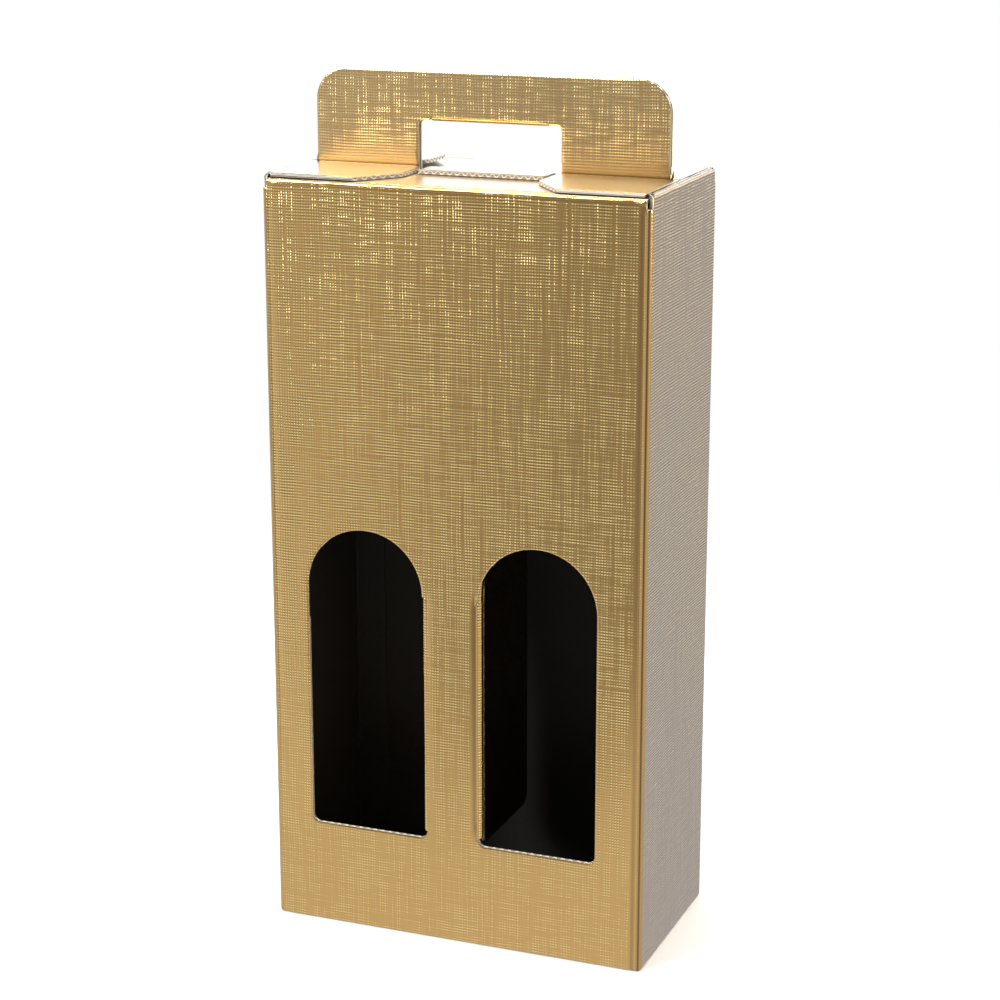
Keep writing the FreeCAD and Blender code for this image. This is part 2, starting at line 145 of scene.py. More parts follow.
# Lines of a mesh across its strip, closer together at a fold. A row gives a mark and the way
# past it, another mark and the way past that, and the step between the lines.

def rowsOf(marks, rows):
    lines = []
    for first, pastFirst, last, pastLast, step in rows:
        lines += steps(marks[first] + pastFirst, marks[last] + pastLast, step)
    return lines


# Cut outlines

def area(points):
    turned = points[1:] + points[:1]
    return sum(p[0] * q[1] - q[0] * p[1] for p, q in zip(points, turned)) / 2


def onJoin(start, end, joins):
    return any(abs(start[axis] - at) < 1e-6 and abs(end[axis] - at) < 1e-6
               for axis, at in joins)


# Grid lines that lie close together mark a bend

def bendLines(lines):
    ordered = sorted(lines)
    gaps = [after - before for before, after in zip(ordered, ordered[1:])]
    return [line for index, line in enumerate(ordered)
            if min(gaps[max(0, index - 1):index + 1] or [1.0]) < sheetLook["bendStep"]]


# Points along an outline: close together where it crosses the flutes, and one at each bend
# line. The second list tells which stretches are joins.

def refineCut(points, across, joins, bends):
    fine, hidden = [], []
    for index, start in enumerate(points):
        end = points[(index + 1) % len(points)]
        length = math.dist(start, end)
        if length < 1e-7:
            continue
        share = abs(end[across] - start[across]) / length
        plain = onJoin(start, end, joins)
        step = sheetLook["plainStep"]
        if not plain:
            step += (sheetLook["waveStep"] - step) * share
        count = max(1, math.ceil(length / step))
        shares = [part / count for part in range(count)]
        for axis, lines in enumerate(bends):
            span = end[axis] - start[axis]
            if abs(span) > 1e-7:
                shares += [(line - start[axis]) / span for line in lines]
        least = sheetLook["leastStep"] / length
        last = -1.0
        for share in sorted(shares):
            if 0 <= share < 1 - least and share - last > least:
                fine.append((start[0] + (end[0] - start[0]) * share,
                             start[1] + (end[1] - start[1]) * share))
                hidden.append(plain)
                last = share
    return np.array(fine), np.array(hidden)


# Which way the board lies at each point of an outline, stretched at corners so that a shifted
# outline keeps its width

def inwardNormals(points):
    before = points - np.roll(points, 1, axis=0)
    after = np.roll(points, -1, axis=0) - points
    before /= np.linalg.norm(before, axis=1)[:, None]
    after /= np.linalg.norm(after, axis=1)[:, None]
    normals = np.stack([-(before + after)[:, 1], (before + after)[:, 0]], 1)
    normals /= np.maximum(np.linalg.norm(normals, axis=1)[:, None], 1e-9)
    cosine = np.clip(-before[:, 1] * normals[:, 0] + before[:, 0] * normals[:, 1], 0.5, 1)
    return normals / cosine[:, None]


# How far each point is from the nearest edge of the outlines

def distanceTo(points, starts, ends):
    nearest = np.full(len(points), 1.0)
    if not len(starts):
        return nearest
    spans = ends - starts
    lengths = np.maximum((spans ** 2).sum(1), 1e-18)
    for first in range(0, len(points), pointsAtOnce):
        part = points[first:first + pointsAtOnce]
        offset = part[:, None, :] - starts[None]
        share = np.clip((offset * spans).sum(2) / lengths, 0, 1)
        gap = offset - share[..., None] * spans
        nearest[first:first + pointsAtOnce] = np.sqrt((gap ** 2).sum(2)).min(1)
    return nearest


# A point is on the board when a line from it crosses the outlines an odd number of times

def insideCut(points, starts, ends):
    inside = np.zeros(len(points), bool)
    for first in range(0, len(points), pointsAtOnce):
        part = points[first:first + pointsAtOnce]
        x, y = part[:, :1], part[:, 1:]
        crosses = (starts[:, 1] > y) != (ends[:, 1] > y)
        rise = np.where(ends[:, 1] == starts[:, 1], 1.0, ends[:, 1] - starts[:, 1])
        at = starts[:, 0] + (y - starts[:, 1]) / rise * (ends[:, 0] - starts[:, 0])
        inside[first:first + pointsAtOnce] = (crosses & (x < at)).sum(1) % 2 == 1
    return inside


# Mesh edges along the grid lines of a bend, where no cut comes between their two points

def bendEdges(spotOf, linesU, linesV, bends, starts, ends):
    edges = []
    for axis in (0, 1):
        lines, others = (linesU, linesV) if axis == 0 else (linesV, linesU)
        other = 1 - axis
        held = set(bends[axis])
        for index, line in enumerate(lines):
            if line not in held:
                continue
            crossed = (starts[:, axis] > line) != (ends[:, axis] > line)
            first, last = starts[crossed], ends[crossed]
            share = (line - first[:, axis]) / (last[:, axis] - first[:, axis])
            at = first[:, other] + share * (last[:, other] - first[:, other])
            for step in range(len(others) - 1):
                keys = [(index, step), (index, step + 1)]
                if axis == 1:
                    keys = [key[::-1] for key in keys]
                low, high = others[step], others[step + 1]
                if keys[0] in spotOf and keys[1] in spotOf and not ((at > low) & (at < high)).any():
                    edges.append((spotOf[keys[0]], spotOf[keys[1]]))
    return edges


# How far a cut edge's middle lies back from its liners: the channels between the flutes are open

def fluteRecess(across, depth):
    liner = sheetLook["linerThickness"]
    full = sheetLook["thickness"]
    if depth <= liner * 1.01 or depth >= full - liner * 1.01:
        return 0.0
    swing = full / 2 - liner
    wave = full / 2 + swing * math.sin(2 * math.pi * across / sheetLook["flutePitch"])
    gap = min(1.0, abs(depth - wave) / sheetLook["fluteReach"])
    return sheetLook["leastRecess"] + sheetLook["fluteRecess"] * gap


# A sheet of board, cut to outlines in its own flat coordinates and placed by a function. The
# joins are the lines along which it runs on into another sheet, and the score function marks its
# foil, which smooths the linen and, where strong, paints shade along a fold.
# The lines are the mesh's grid, close together at a bend and far apart on flat board.

def makeSheet(name, cuts, place, linesU, linesV, across=0, joins=(), scoreAndShadeAt=None):
    full = sheetLook["thickness"]
    linesU, linesV = sorted(linesU), sorted(linesV)
    bends = [bendLines(linesU), bendLines(linesV)]
    loops = []
    for index, cut in enumerate(cuts):
        points = list(cut)
        if (area(points) > 0) != (index == 0):
            points.reverse()
        loops.append(refineCut(points, across, joins, bends))

    starts = np.concatenate([loop for loop, hidden in loops])
    ends = np.concatenate([np.roll(loop, -1, axis=0) for loop, hidden in loops])
    isOpen = np.concatenate([~hidden for loop, hidden in loops])
    grid = np.array([(u, v) for u in linesU for v in linesV])
    keep = insideCut(grid, starts, ends)
    keep &= distanceTo(grid, starts[isOpen], ends[isOpen]) > sheetLook["gridClear"]
    keep &= distanceTo(grid, starts[~isOpen], ends[~isOpen]) > sheetLook["joinClear"]
    spotOf = {}
    for index in np.flatnonzero(keep):
        spotOf[(int(index) // len(linesV), int(index) % len(linesV))] = len(starts) + len(spotOf)
    grid = grid[keep]
    rings = []
    for distance in sheetLook["edgeRings"]:
        for loop, hidden in loops:
            keep = ~hidden
            ring = (loop + inwardNormals(loop) * distance)[keep]
            if len(ring):
                ring = ring[distanceTo(ring, starts, ends) > distance * 0.9]
                rings.append(ring[insideCut(ring, starts, ends)] if len(ring) else ring)

    flat = np.concatenate([starts, grid] + rings)
    edges = []
    first = 0
    for loop, hidden in loops:
        count = len(loop)
        edges += [(first + i, first + (i + 1) % count) for i in range(count)]
        first += count
    edges += bendEdges(spotOf, linesU, linesV, bends, starts, ends)
    joined = delaunay_2d_cdt([Vector(p / mm) for p in flat], edges, [], 0, 1e-5)
    spots = np.array([tuple(p) for p in joined[0]]) * mm
    outputOf = {}
    for index, origins in enumerate(joined[3]):
        for origin in origins:
            outputOf[origin] = index
    triangles = np.array(joined[2])
    middles = spots[triangles].mean(1)
    triangles = triangles[insideCut(middles, starts, ends)]
    a, b, c = (spots[triangles[:, k]] for k in range(3))
    turn = (b - a)[:, 0] * (c - a)[:, 1] - (b - a)[:, 1] * (c - a)[:, 0]
    triangles[turn < 0] = triangles[turn < 0][:, ::-1]
    triangles = triangles[np.abs(turn) > 1e-12]

    near = distanceTo(spots, starts[isOpen], ends[isOpen])
    drop = sheetLook["edgeDrop"] * np.clip(1 - near / sheetLook["edgeDropWidth"], 0, 1) ** 2
    vertices, uvOf = [], []
    for (u, v), sunk in zip(spots, drop):
        vertices.append(place(u, v, sunk))
        uvOf.append((u, v))
    count = len(spots)
    for (u, v), sunk in zip(spots, drop):
        vertices.append(place(u, v, full - sunk * sheetLook["backDrop"]))
        uvOf.append((u, v))
    faces = [tuple(face) for face in triangles]
    kinds = [foilFace] * len(faces)
    faces += [tuple(int(i) + count for i in face[::-1]) for face in triangles]
    kinds += [linerFace] * len(triangles)

    liner = sheetLook["linerThickness"]
    rows = [liner] + [part * full for part in sheetLook["edgeRows"]] + [full - liner]
    first = 0
    for loop, hidden in loops:
        normals = inwardNormals(loop)
        outer = [outputOf[first + i] for i in range(len(loop))]
        columns = []
        for index, spot in enumerate(loop):
            column = [outer[index]]
            plain = hidden[index] or hidden[index - 1]
            if not plain:
                for depth in rows:
                    back = fluteRecess(spot[across], depth)
                    moved = spot + normals[index] * back
                    column.append(len(vertices))
                    vertices.append(place(moved[0], moved[1], depth))
                    uvOf.append((spot[across], depth))
            column.append(outer[index] + count)
            columns.append(column)
        for index, column in enumerate(columns):
            after = columns[(index + 1) % len(columns)]
            if len(column) == len(after):
                for row in range(len(column) - 1):
                    faces.append((column[row], column[row + 1], after[row + 1], after[row]))
                    kinds.append(cutFace)
            else:
                faces.append(tuple(column) + tuple(reversed(after)))
                kinds.append(cutFace)
        first += len(loop)

    mesh = bpy.data.meshes.new(name)
    mesh.from_pydata(vertices, [], faces)
    mesh.polygons.foreach_set("material_index", kinds)
    layer = mesh.uv_layers.new(name="sheet")
    for polygon in mesh.polygons:
        for loopIndex in polygon.loop_indices:
            vertex = mesh.loops[loopIndex].vertex_index
            u, v = uvOf[vertex]
            if polygon.material_index == cutFace and vertex < 2 * count:
                spot = spots[vertex % count]
                u, v = spot[across], (0.0 if vertex < count else full)
            layer.data[loopIndex].uv = (u, v)
    mesh.polygons.foreach_set("use_smooth", [True] * len(mesh.polygons))
    mesh.validate()
    shell = bmesh.new()
    shell.from_mesh(mesh)
    bmesh.ops.recalc_face_normals(shell, faces=shell.faces)
    limit = math.radians(sheetLook["sharpAngle"])
    for edge in shell.edges:
        sides = {face.material_index for face in edge.link_faces}
        isSharp = cutFace in sides and edge.calc_face_angle(0) > limit
        edge.smooth = len(sides) == 1 and not isSharp
    shell.to_mesh(mesh)
    shell.free()
    if scoreAndShadeAt:
        marked = [scoreAndShadeAt(u, v) for u, v in uvOf[:count]] + [0.0] * (len(vertices) - count)
        scoreAndShade = mesh.attributes.new("scoreAndShade", "FLOAT", "POINT")
        scoreAndShade.data.foreach_set("value", marked)
    piece = bpy.data.objects.new(name, mesh)
    bpy.context.scene.collection.objects.link(piece)
    return piece


# One sheet piece: its materials, the body it moves with, and the node it stands for

def finishPiece(piece, materials, body, *nodes):
    for material in materials:
        piece.data.materials.append(material)
    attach(piece, body)
    if nodes:
        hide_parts(*nodes)
    return piece


# Materials

def linear(hexText):
    values = [int(hexText[i:i + 2], 16) / 255 for i in (0, 2, 4)]
    return [v / 12.92 if v <= 0.04045 else ((v + 0.055) / 1.055) ** 2.4 for v in values] + [1]


def addNode(tree, kind, settings=None, inputs=None):
    node = tree.nodes.new(kind)
    for key, value in (settings or {}).items():
        setattr(node, key, value)
    for key, value in (inputs or {}).items():
        if isinstance(value, bpy.types.NodeSocket):
            tree.links.new(value, node.inputs[key])
        else:
            node.inputs[key].default_value = value
    return node


def newMaterial(name):
    material = bpy.data.materials.new(name)
    material.use_nodes = True
    tree = material.node_tree
    tree.nodes.clear()
    output = addNode(tree, "ShaderNodeOutputMaterial")
    return material, tree, output


def calc(tree, operation, *values, clamp=False):
    node = addNode(tree, "ShaderNodeMath", {"operation": operation, "use_clamp": clamp},
                   {index: value for index, value in enumerate(values)})
    return node.outputs[0]


# Foil: hot-pressed gold metal film under a clear lacquer, embossed with linen. The film is a
# soft warm mirror. Each crossing of two pressed threads turns a bright dot to the eye, with a
# brown line beside it, and the lacquer adds a clear glint and greys the gold at a low angle.
# Part of that is painted: the base colour is darker in the linen's valleys (painted shade) and
# paler on its crowns (painted highlight), over what the bump gives.
# The threads lie about 1.2 mm apart, as counted in the photograph.

foilLook = {
    # painted shade in the valleys, the flat gold, and painted highlight on the crowns
    "valleyShade": "94713A",
    "flat": "BF9A5A",
    "crownHighlight": "FCE7A4",
    "sheenTint": "F2E2BC",           # painted highlight: the paler gold of faces that reflect bright surroundings
    # painted shade along folds and creases
    "scoreAndShade": "5E4322",
    "coatIor": 1.5,
    "threadPitchU": 1.22 * mm,
    "threadPitchV": 1.26 * mm,
    "emboss": 0.11 * mm,        # from a valley to a crown
    "wander": 0.8 * mm,         # how far a thread strays from its line
    "strayAlong": 40 * mm,
    "strayAcross": 18 * mm,
    "threadFade": [0.34, 0.6],  # noise levels between which a thread comes up
    "threadLeast": 0.35,
    "groupFade": [0.27, 0.35],  # and between which a group of threads does
    "groupThreads": 1.7,
    "levelRun": 12 * mm,        # how far a thread keeps its strength
    "uprightRun": 30 * mm,
    "dotLeast": 0.3,
    "dotRise": 1.1,
    "uprightShare": 0.32,       # how far the upright threads show between the level ones
    "valleyShadeTones": [-0.5, -0.08],   # press levels between which each colour gives way
    "crownHighlightTones": [0.05, 0.4],
    "lacquerTones": [-0.35, 0.25],
    "lacquerLeast": 0.25,
    "glossChange": 0.12,
    "glossPatch": [60 * mm, 80 * mm],
    "smoothMark": 0.1,          # a mark up to this smooths the linen and leaves its colour
    "smoothShare": 0.85,
    # Finishes of the foil: pressed elsewhere, and two paler ones where the top faces up and on the
    # crests and handle. The glance is the tint at a low angle, which takes the red out. The pale
    # share is painted highlight, a paler gold for the bright surroundings those faces reflect.
    "pressed": {"embossShare": 1.0, "roughness": 0.2, "coatRoughness": 0.1, "paleShare": 0.0,
                "glance": (0.25, 0.36, 0.58, 1)},
    "crestAndHandleSheen": {"embossShare": 0.75, "roughness": 0.25, "coatRoughness": 0.15,
                "paleShare": 0.15, "glance": (0.25, 0.36, 0.58, 1)},
    "upFacingSheen": {"embossShare": 0.12, "roughness": 0.34, "coatRoughness": 0.3,
               "paleShare": 0.45, "glance": (0.7, 0.75, 0.9, 1)},
}


# Slow noise over the flat sheet, with a size of its own each way

def stretchedNoise(tree, u, v, lengthU, lengthV, detail=2.0, seed=0.0):
    scaled = addNode(tree, "ShaderNodeCombineXYZ", None, {
        0: calc(tree, "DIVIDE", u, lengthU),
        1: calc(tree, "DIVIDE", v, lengthV),
        2: seed,
    })
    noise = addNode(tree, "ShaderNodeTexNoise", {"noise_dimensions": "3D"}, {
        "Vector": scaled.outputs[0],
        "Scale": 1.0,
        "Detail": detail,
        "Roughness": 0.5,
    })
    return noise.outputs["Fac"]


def smoothStep(tree, value, low, high):
    node = addNode(tree, "ShaderNodeMapRange", {"interpolation_type": "SMOOTHSTEP"}, {
        "Value": value, "From Min": low, "From Max": high, "To Min": 0.0, "To Max": 1.0,
    })
    return node.outputs["Result"]


# Parallel threads: each has its own strength, which changes slowly along it, and fades out
# here and there. Gives the rounded wave across the threads, and the strength.

def threads(tree, along, acrossValue, pitch, seed, runLength):
    look = foilLook
    stray = stretchedNoise(tree, along, acrossValue, look["strayAlong"], look["strayAcross"],
                           1.0, seed)
    shift = calc(tree, "MULTIPLY", calc(tree, "SUBTRACT", stray, 0.5), 2 * look["wander"])
    turns = calc(tree, "DIVIDE", calc(tree, "ADD", acrossValue, shift), pitch)
    thread = calc(tree, "FLOOR", turns)
    wave = calc(tree, "MULTIPLY_ADD",
                calc(tree, "COSINE", calc(tree, "MULTIPLY", turns, 2 * math.pi)), -0.5, 0.5)
    own = stretchedNoise(tree, along, thread, runLength, 0.37, 1.0, seed + 7.3)
    group = stretchedNoise(tree, along, thread, 3 * runLength, look["groupThreads"], 1.0,
                           seed + 3.1)
    faded = calc(tree, "MULTIPLY_ADD", smoothStep(tree, own, *look["threadFade"]),
                 1 - look["threadLeast"], look["threadLeast"])
    strength = calc(tree, "MULTIPLY", faded, smoothStep(tree, group, *look["groupFade"]))
    return calc(tree, "SUBTRACT", wave, 0.5), strength


def foilMaterial(name, finish):
    material, tree, output = newMaterial(name)
    look = foilLook
    place = addNode(tree, "ShaderNodeUVMap", {"uv_map": "sheet"})
    parts = addNode(tree, "ShaderNodeSeparateXYZ", None, {0: place.outputs["UV"]})
    u, v = parts.outputs[0], parts.outputs[1]
    level, levelStrength = threads(tree, u, v, look["threadPitchV"], 1.0, look["levelRun"])
    upright, uprightStrength = threads(tree, v, u, look["threadPitchU"], 4.0,
                                       look["uprightRun"])
    # An upright thread shows as a bright dot where it crosses a level one, and sinks between
    dots = calc(tree, "MULTIPLY", calc(tree, "ADD", upright, 0.5), uprightStrength)
    dots = calc(tree, "MULTIPLY_ADD", dots, look["dotRise"], look["dotLeast"])
    rows = calc(tree, "MULTIPLY", calc(tree, "MULTIPLY", level, levelStrength), dots)
    columns = calc(tree, "MULTIPLY", upright, uprightStrength)
    press = calc(tree, "MULTIPLY_ADD", columns, look["uprightShare"], rows)
    # A small mark presses the linen smooth, and a larger one also darkens the colour, which is
    # painted shade along folds and creases
    mark = addNode(tree, "ShaderNodeAttribute", {"attribute_name": "scoreAndShade"}).outputs["Fac"]
    smooth = smoothStep(tree, mark, 0.0, look["smoothMark"] * 1.2)
    press = calc(tree, "MULTIPLY", press,
                 calc(tree, "MULTIPLY_ADD", smooth, -look["smoothShare"], 1.0))
    height = calc(tree, "MULTIPLY", press, look["emboss"] * finish["embossShare"])
    press = calc(tree, "MULTIPLY", press, finish["embossShare"])
    bump = addNode(tree, "ShaderNodeBump", None, {
        "Strength": 1.0, "Distance": 1.0, "Height": height,
    })
    # Painted shade and highlight: the colour darkens down into the valleys and lightens up onto the
    # crowns
    low = addNode(tree, "ShaderNodeMix", {"data_type": "RGBA"}, {
        "Factor": smoothStep(tree, press, *look["valleyShadeTones"]),
        "A": linear(look["valleyShade"]), "B": linear(look["flat"]),
    })
    withPaintedRelief = addNode(tree, "ShaderNodeMix", {"data_type": "RGBA"}, {
        "Factor": smoothStep(tree, press, *look["crownHighlightTones"]),
        "A": low.outputs["Result"], "B": linear(look["crownHighlight"]),
    })
    # Painted highlight: the up-facing, crest and handle finishes mix in a paler gold
    withPaintedSheen = addNode(tree, "ShaderNodeMix", {"data_type": "RGBA"}, {
        "Factor": finish["paleShare"],
        "A": withPaintedRelief.outputs["Result"], "B": linear(look["sheenTint"]),
    })
    # Painted shade: a strong mark darkens the colour towards the score colour
    dark = calc(tree, "DIVIDE", calc(tree, "SUBTRACT", mark, look["smoothMark"]),
                1 - look["smoothMark"], clamp=True)
    colour = addNode(tree, "ShaderNodeMix", {"data_type": "RGBA"}, {
        "Factor": dark,
        "A": withPaintedSheen.outputs["Result"], "B": linear(look["scoreAndShade"]),
    })
    # The clear lacquer lies thick on the crowns and thin in the valleys
    lacquer = calc(tree, "MULTIPLY_ADD", smoothStep(tree, press, *look["lacquerTones"]),
                   1 - look["lacquerLeast"], look["lacquerLeast"])
    # Wear in the lacquer: slow changes of gloss, as hands and light rubbing leave them
    gloss = stretchedNoise(tree, u, v, *look["glossPatch"], 3.0, 2.0)
    roughness = calc(tree, "MULTIPLY_ADD", gloss, look["glossChange"],
                     finish["roughness"] - look["glossChange"] / 2)
    shader = addNode(tree, "ShaderNodeBsdfPrincipled", None, {
        "Base Color": colour.outputs["Result"],
        "Metallic": 1.0,
        "Roughness": roughness,
        "Specular Tint": finish["glance"],
        "Coat Weight": lacquer,
        "Coat Roughness": finish["coatRoughness"],
        "Coat IOR": look["coatIor"],
        "Normal": bump.outputs[0],
        "Coat Normal": bump.outputs[0],
    })
    tree.links.new(shader.outputs[0], output.inputs["Surface"])
    return material


# Liner: uncoated paper dyed nearly black. It gives back almost no light, and its fibres lie
# along the machine's run.

linerLook = {
    "dye": "1B1714",
    "fibre": "2A241F",
    "roughness": 0.85,
    "fibreWide": 0.8 * mm,      # coarser than real fibres, so that they show
    "fibreLong": 2.4 * mm,
    "fibreHeight": 0.04 * mm,
}


def linerMaterial():
    material, tree, output = newMaterial("dyedBlackLiner")
    place = addNode(tree, "ShaderNodeUVMap", {"uv_map": "sheet"})
    parts = addNode(tree, "ShaderNodeSeparateXYZ", None, {0: place.outputs["UV"]})
    fibre = stretchedNoise(tree, parts.outputs[0], parts.outputs[1], linerLook["fibreWide"],
                           linerLook["fibreLong"], 4.0)
    colour = addNode(tree, "ShaderNodeMix", {"data_type": "RGBA"}, {
        "Factor": fibre, "A": linear(linerLook["dye"]), "B": linear(linerLook["fibre"]),
    })
    bump = addNode(tree, "ShaderNodeBump", None, {
        "Strength": 0.6, "Distance": linerLook["fibreHeight"], "Height": fibre,
    })
    shader = addNode(tree, "ShaderNodeBsdfPrincipled", None, {
        "Base Color": colour.outputs["Result"],
        "Roughness": linerLook["roughness"],
        "Normal": bump.outputs[0],
    })
    tree.links.new(shader.outputs[0], output.inputs["Surface"])
    return material


# Cut edge of die-cut board: white paper under the foil and a wavy unbleached medium. The die
# tears both a little, so the edge is matt. The flutes' open channels between them are painted grey,
# as painted shade of the hollows.

edgeLook = {
    "paper": "EFEBE4",
    "medium": "DDD5C6",
    # painted shade in the open channels between the flutes
    "channelShade": "958A7A",
    "inner": "1E1A17",
    "roughness": 0.9,
    "tornLong": 0.5 * mm,
    "tornDeep": 0.25 * mm,
    "mediumReach": [0.15 * mm, 0.65 * mm],  # from the flute's line to its torn border
    "mediumBorder": 0.2 * mm,
    "border": 0.15 * mm,
    "driftPatch": [14 * mm, 20 * mm],
    "tornHeight": 0.1 * mm,
    # The pale part of the thickness, with the black liner below it, and how the paper is
    # smeared over the flutes where a flap was crushed as it was tucked in. On crushed edges the
    # dark part reaches half way up: the black liner, and above it painted shade.
    "clean": {"paleShare": 1.1, "smear": 0.5 * mm, "drift": 0.4},
    "crushedShadedBelow": {"paleShare": 0.5, "smear": 4 * mm, "drift": 0.1},
}


def edgeMaterial(name, cut):
    material, tree, output = newMaterial(name)
    place = addNode(tree, "ShaderNodeUVMap", {"uv_map": "sheet"})
    parts = addNode(tree, "ShaderNodeSeparateXYZ", None, {0: place.outputs["UV"]})
    across, depth = parts.outputs[0], parts.outputs[1]
    full, liner = sheetLook["thickness"], sheetLook["linerThickness"]
    turns = calc(tree, "MULTIPLY", across, 2 * math.pi / sheetLook["flutePitch"])
    wave = calc(tree, "MULTIPLY_ADD", calc(tree, "SINE", turns), full / 2 - liner, full / 2)
    gap = calc(tree, "ABSOLUTE", calc(tree, "SUBTRACT", depth, wave))
    torn = stretchedNoise(tree, across, depth, edgeLook["tornLong"], edgeLook["tornDeep"], 3.0)
    least, most = edgeLook["mediumReach"]
    reach = calc(tree, "MULTIPLY_ADD", torn, most - least, least)
    onMedium = smoothStep(tree, calc(tree, "SUBTRACT", reach, gap), 0.0,
                          edgeLook["mediumBorder"])
    middle = addNode(tree, "ShaderNodeMix", {"data_type": "RGBA"}, {
        "Factor": onMedium, "A": linear(edgeLook["channelShade"]), "B": linear(edgeLook["medium"]),
    })
    paperEnd = calc(tree, "MULTIPLY_ADD", torn, cut["smear"], liner)
    onPaper = smoothStep(tree, calc(tree, "SUBTRACT", paperEnd, depth), 0.0,
                         edgeLook["border"])
    paper = addNode(tree, "ShaderNodeMix", {"data_type": "RGBA"}, {
        "Factor": onPaper, "A": middle.outputs["Result"], "B": linear(edgeLook["paper"]),
    })
    slow = stretchedNoise(tree, across, depth, *edgeLook["driftPatch"], 2.0, 5.0)
    paleEnd = calc(tree, "MULTIPLY_ADD", calc(tree, "SUBTRACT", slow, 0.5), cut["drift"] * full,
                   full * cut["paleShare"])
    # The dark below the pale share is the liner; where the share is only a half, the extra dark is
    # painted shade
    onInner = smoothStep(tree, calc(tree, "SUBTRACT", depth, paleEnd), 0.0,
                         edgeLook["border"])
    colour = addNode(tree, "ShaderNodeMix", {"data_type": "RGBA"}, {
        "Factor": onInner, "A": paper.outputs["Result"], "B": linear(edgeLook["inner"]),
    })
    bump = addNode(tree, "ShaderNodeBump", None, {
        "Strength": 0.7, "Distance": edgeLook["tornHeight"], "Height": torn,
    })
    shader = addNode(tree, "ShaderNodeBsdfPrincipled", None, {
        "Base Color": colour.outputs["Result"],
        "Roughness": edgeLook["roughness"],
        "Normal": bump.outputs[0],
    })
    tree.links.new(shader.outputs[0], output.inputs["Surface"])
    return material


boardMaterials = [foilMaterial("goldFoilPressedLinen", foilLook["pressed"]), linerMaterial(),
                  edgeMaterial("dieCutFluting", edgeLook["clean"])]
topMaterials = boardMaterials + [
    foilMaterial("goldFoilUpFacingSheen", foilLook["upFacingSheen"]),
    edgeMaterial("dieCutFlutingCrushedShaded", edgeLook["crushedShadedBelow"]),
    foilMaterial("goldFoilCrestAndHandleSheen", foilLook["crestAndHandleSheen"]),
]


# The faces of the top that turn up, and its crests and handle, take paler and flatter foil. The
# paler gold is painted highlight, for the bright surroundings that these faces reflect.

topSheenLook = {"flatNormal": 0.95, "crestNormal": 0.35, "handleFrom": boxTop + 2 * board}


def paintTopSheen(piece):
    for polygon in piece.data.polygons:
        if polygon.material_index != foilFace:
            continue
        if polygon.normal.z > topSheenLook["flatNormal"]:
            polygon.material_index = upFacingSheenFace
        elif (polygon.normal.z > topSheenLook["crestNormal"]
              or polygon.center.z > topSheenLook["handleFrom"]):
            polygon.material_index = crestAndHandleSheenFace


print("materials made")

# Walls: one strip folded round four corners, with the glued tab at its end

wallLook = {
    "seamSetBack": 0.5 * mm,
    "tabReach": 14 * mm,
    "tabInset": 8 * mm,
    "tabSlope": 6 * mm,
    "glueMargin": 1 * mm,
    "flapClear": 0.5 * mm,
    "sleeveTop": boxTop - board - 1.0 * mm,
    "cornerNotch": 2.6 * mm,
    "foldDip": 0.28 * mm,        # the board sinks towards a fold, rises to a ridge and
    "foldDipReach": 3.4 * mm,    # drops into the scored groove beyond it
    "ridgeWidth": 0.55 * mm,
    "cornerGroove": 0.4 * mm,
    "cornerGrooveAt": 0.7 * mm,
    "cornerGrooveWidth": 0.34 * mm,
    "crestLip": 0.42 * mm,
    "serration": 0.3 * mm,
    "serrationPitch": 3.6 * mm,
    "bow": 0.35 * mm,
    "lipThinning": 0.85,         # the crest ends in a lip of foil over an end flap's fold
    "creaseFoot": 50 * mm,       # the windows' creases pull on the front between these
    "creaseHead": 161 * mm,
    "pressedHead": 16 * mm,      # above and below the head's start, where its edge is crushed and painted with shade below
    "grid": 6 * mm,
    "foldStep": 0.3 * mm,
    "lipLine": 0.2 * mm,        # one more line, past the crest's fold
    "nearFold": [0.3 * mm, 0.6 * mm, 0.9 * mm, 1.4 * mm, 2.0 * mm, 2.7 * mm, 3.4 * mm],
    "scoreGroove": 0.75,
    "scoreGrooveAt": 1.3 * mm,
    "scoreGrooveWidth": 0.4 * mm,
    "scoreDip": 0.5,
    "scoreDipAt": 1.6 * mm,
    "scoreDipWidth": 1.1 * mm,
    "creaseDipWidth": 0.9 * mm,
    "unshadedFoldShare": 0.1,
    "scoreArc": 0.3,             # on the fold itself, where the linen is pressed smooth; at the front right corner it also paints shade
    "footSmooth": [30 * mm, 200 * mm],   # the front's linen fades towards its foot
    "footSmoothShare": 0.75,
}
cornerArc = cornerRadius * quarter
flapHalf = insideX - wallLook["flapClear"]    # of the front and rear top flaps
planPath = {
    "start": (-halfWidth + wallLook["seamSetBack"], halfDepth),
    "heading": 0,
    "moves": [
        (2 * halfWidth - wallLook["seamSetBack"] - cornerRadius, 0),
        (cornerArc, -90),
        (2 * halfDepth - 2 * cornerRadius, 0),
        (cornerArc, -90),
        (2 * halfWidth - 2 * cornerRadius, 0),
        (cornerArc, -90),
        (2 * halfDepth - 2 * cornerRadius - board, 0),
        (cornerArc, -90),
        (wallLook["tabReach"], 0),
    ],
}
planMarks = marksOf(planPath)
footArc = footRadius * quarter
crestArc = board * quarter
riseStart = footArc - footRadius           # a height z on a wall lies at v = z + riseStart
wallPath = {
    "start": (footRadius, 0.0),
    "heading": 180,
    "moves": [
        (footArc, -90),
        (boxTop - footRadius, 0),
        (crestArc, -90),
        (wallLook["crestLip"], 0),
    ],
}
wallMarks = marksOf(wallPath)
wallRows = [
    (0, 0.15 * mm, 1, 0.0, 0.25 * mm),
    (1, 0.4 * mm, 2, -0.4 * mm, wallLook["grid"]),
    (2, 0.0, 3, 0.0, wallLook["foldStep"]),
]


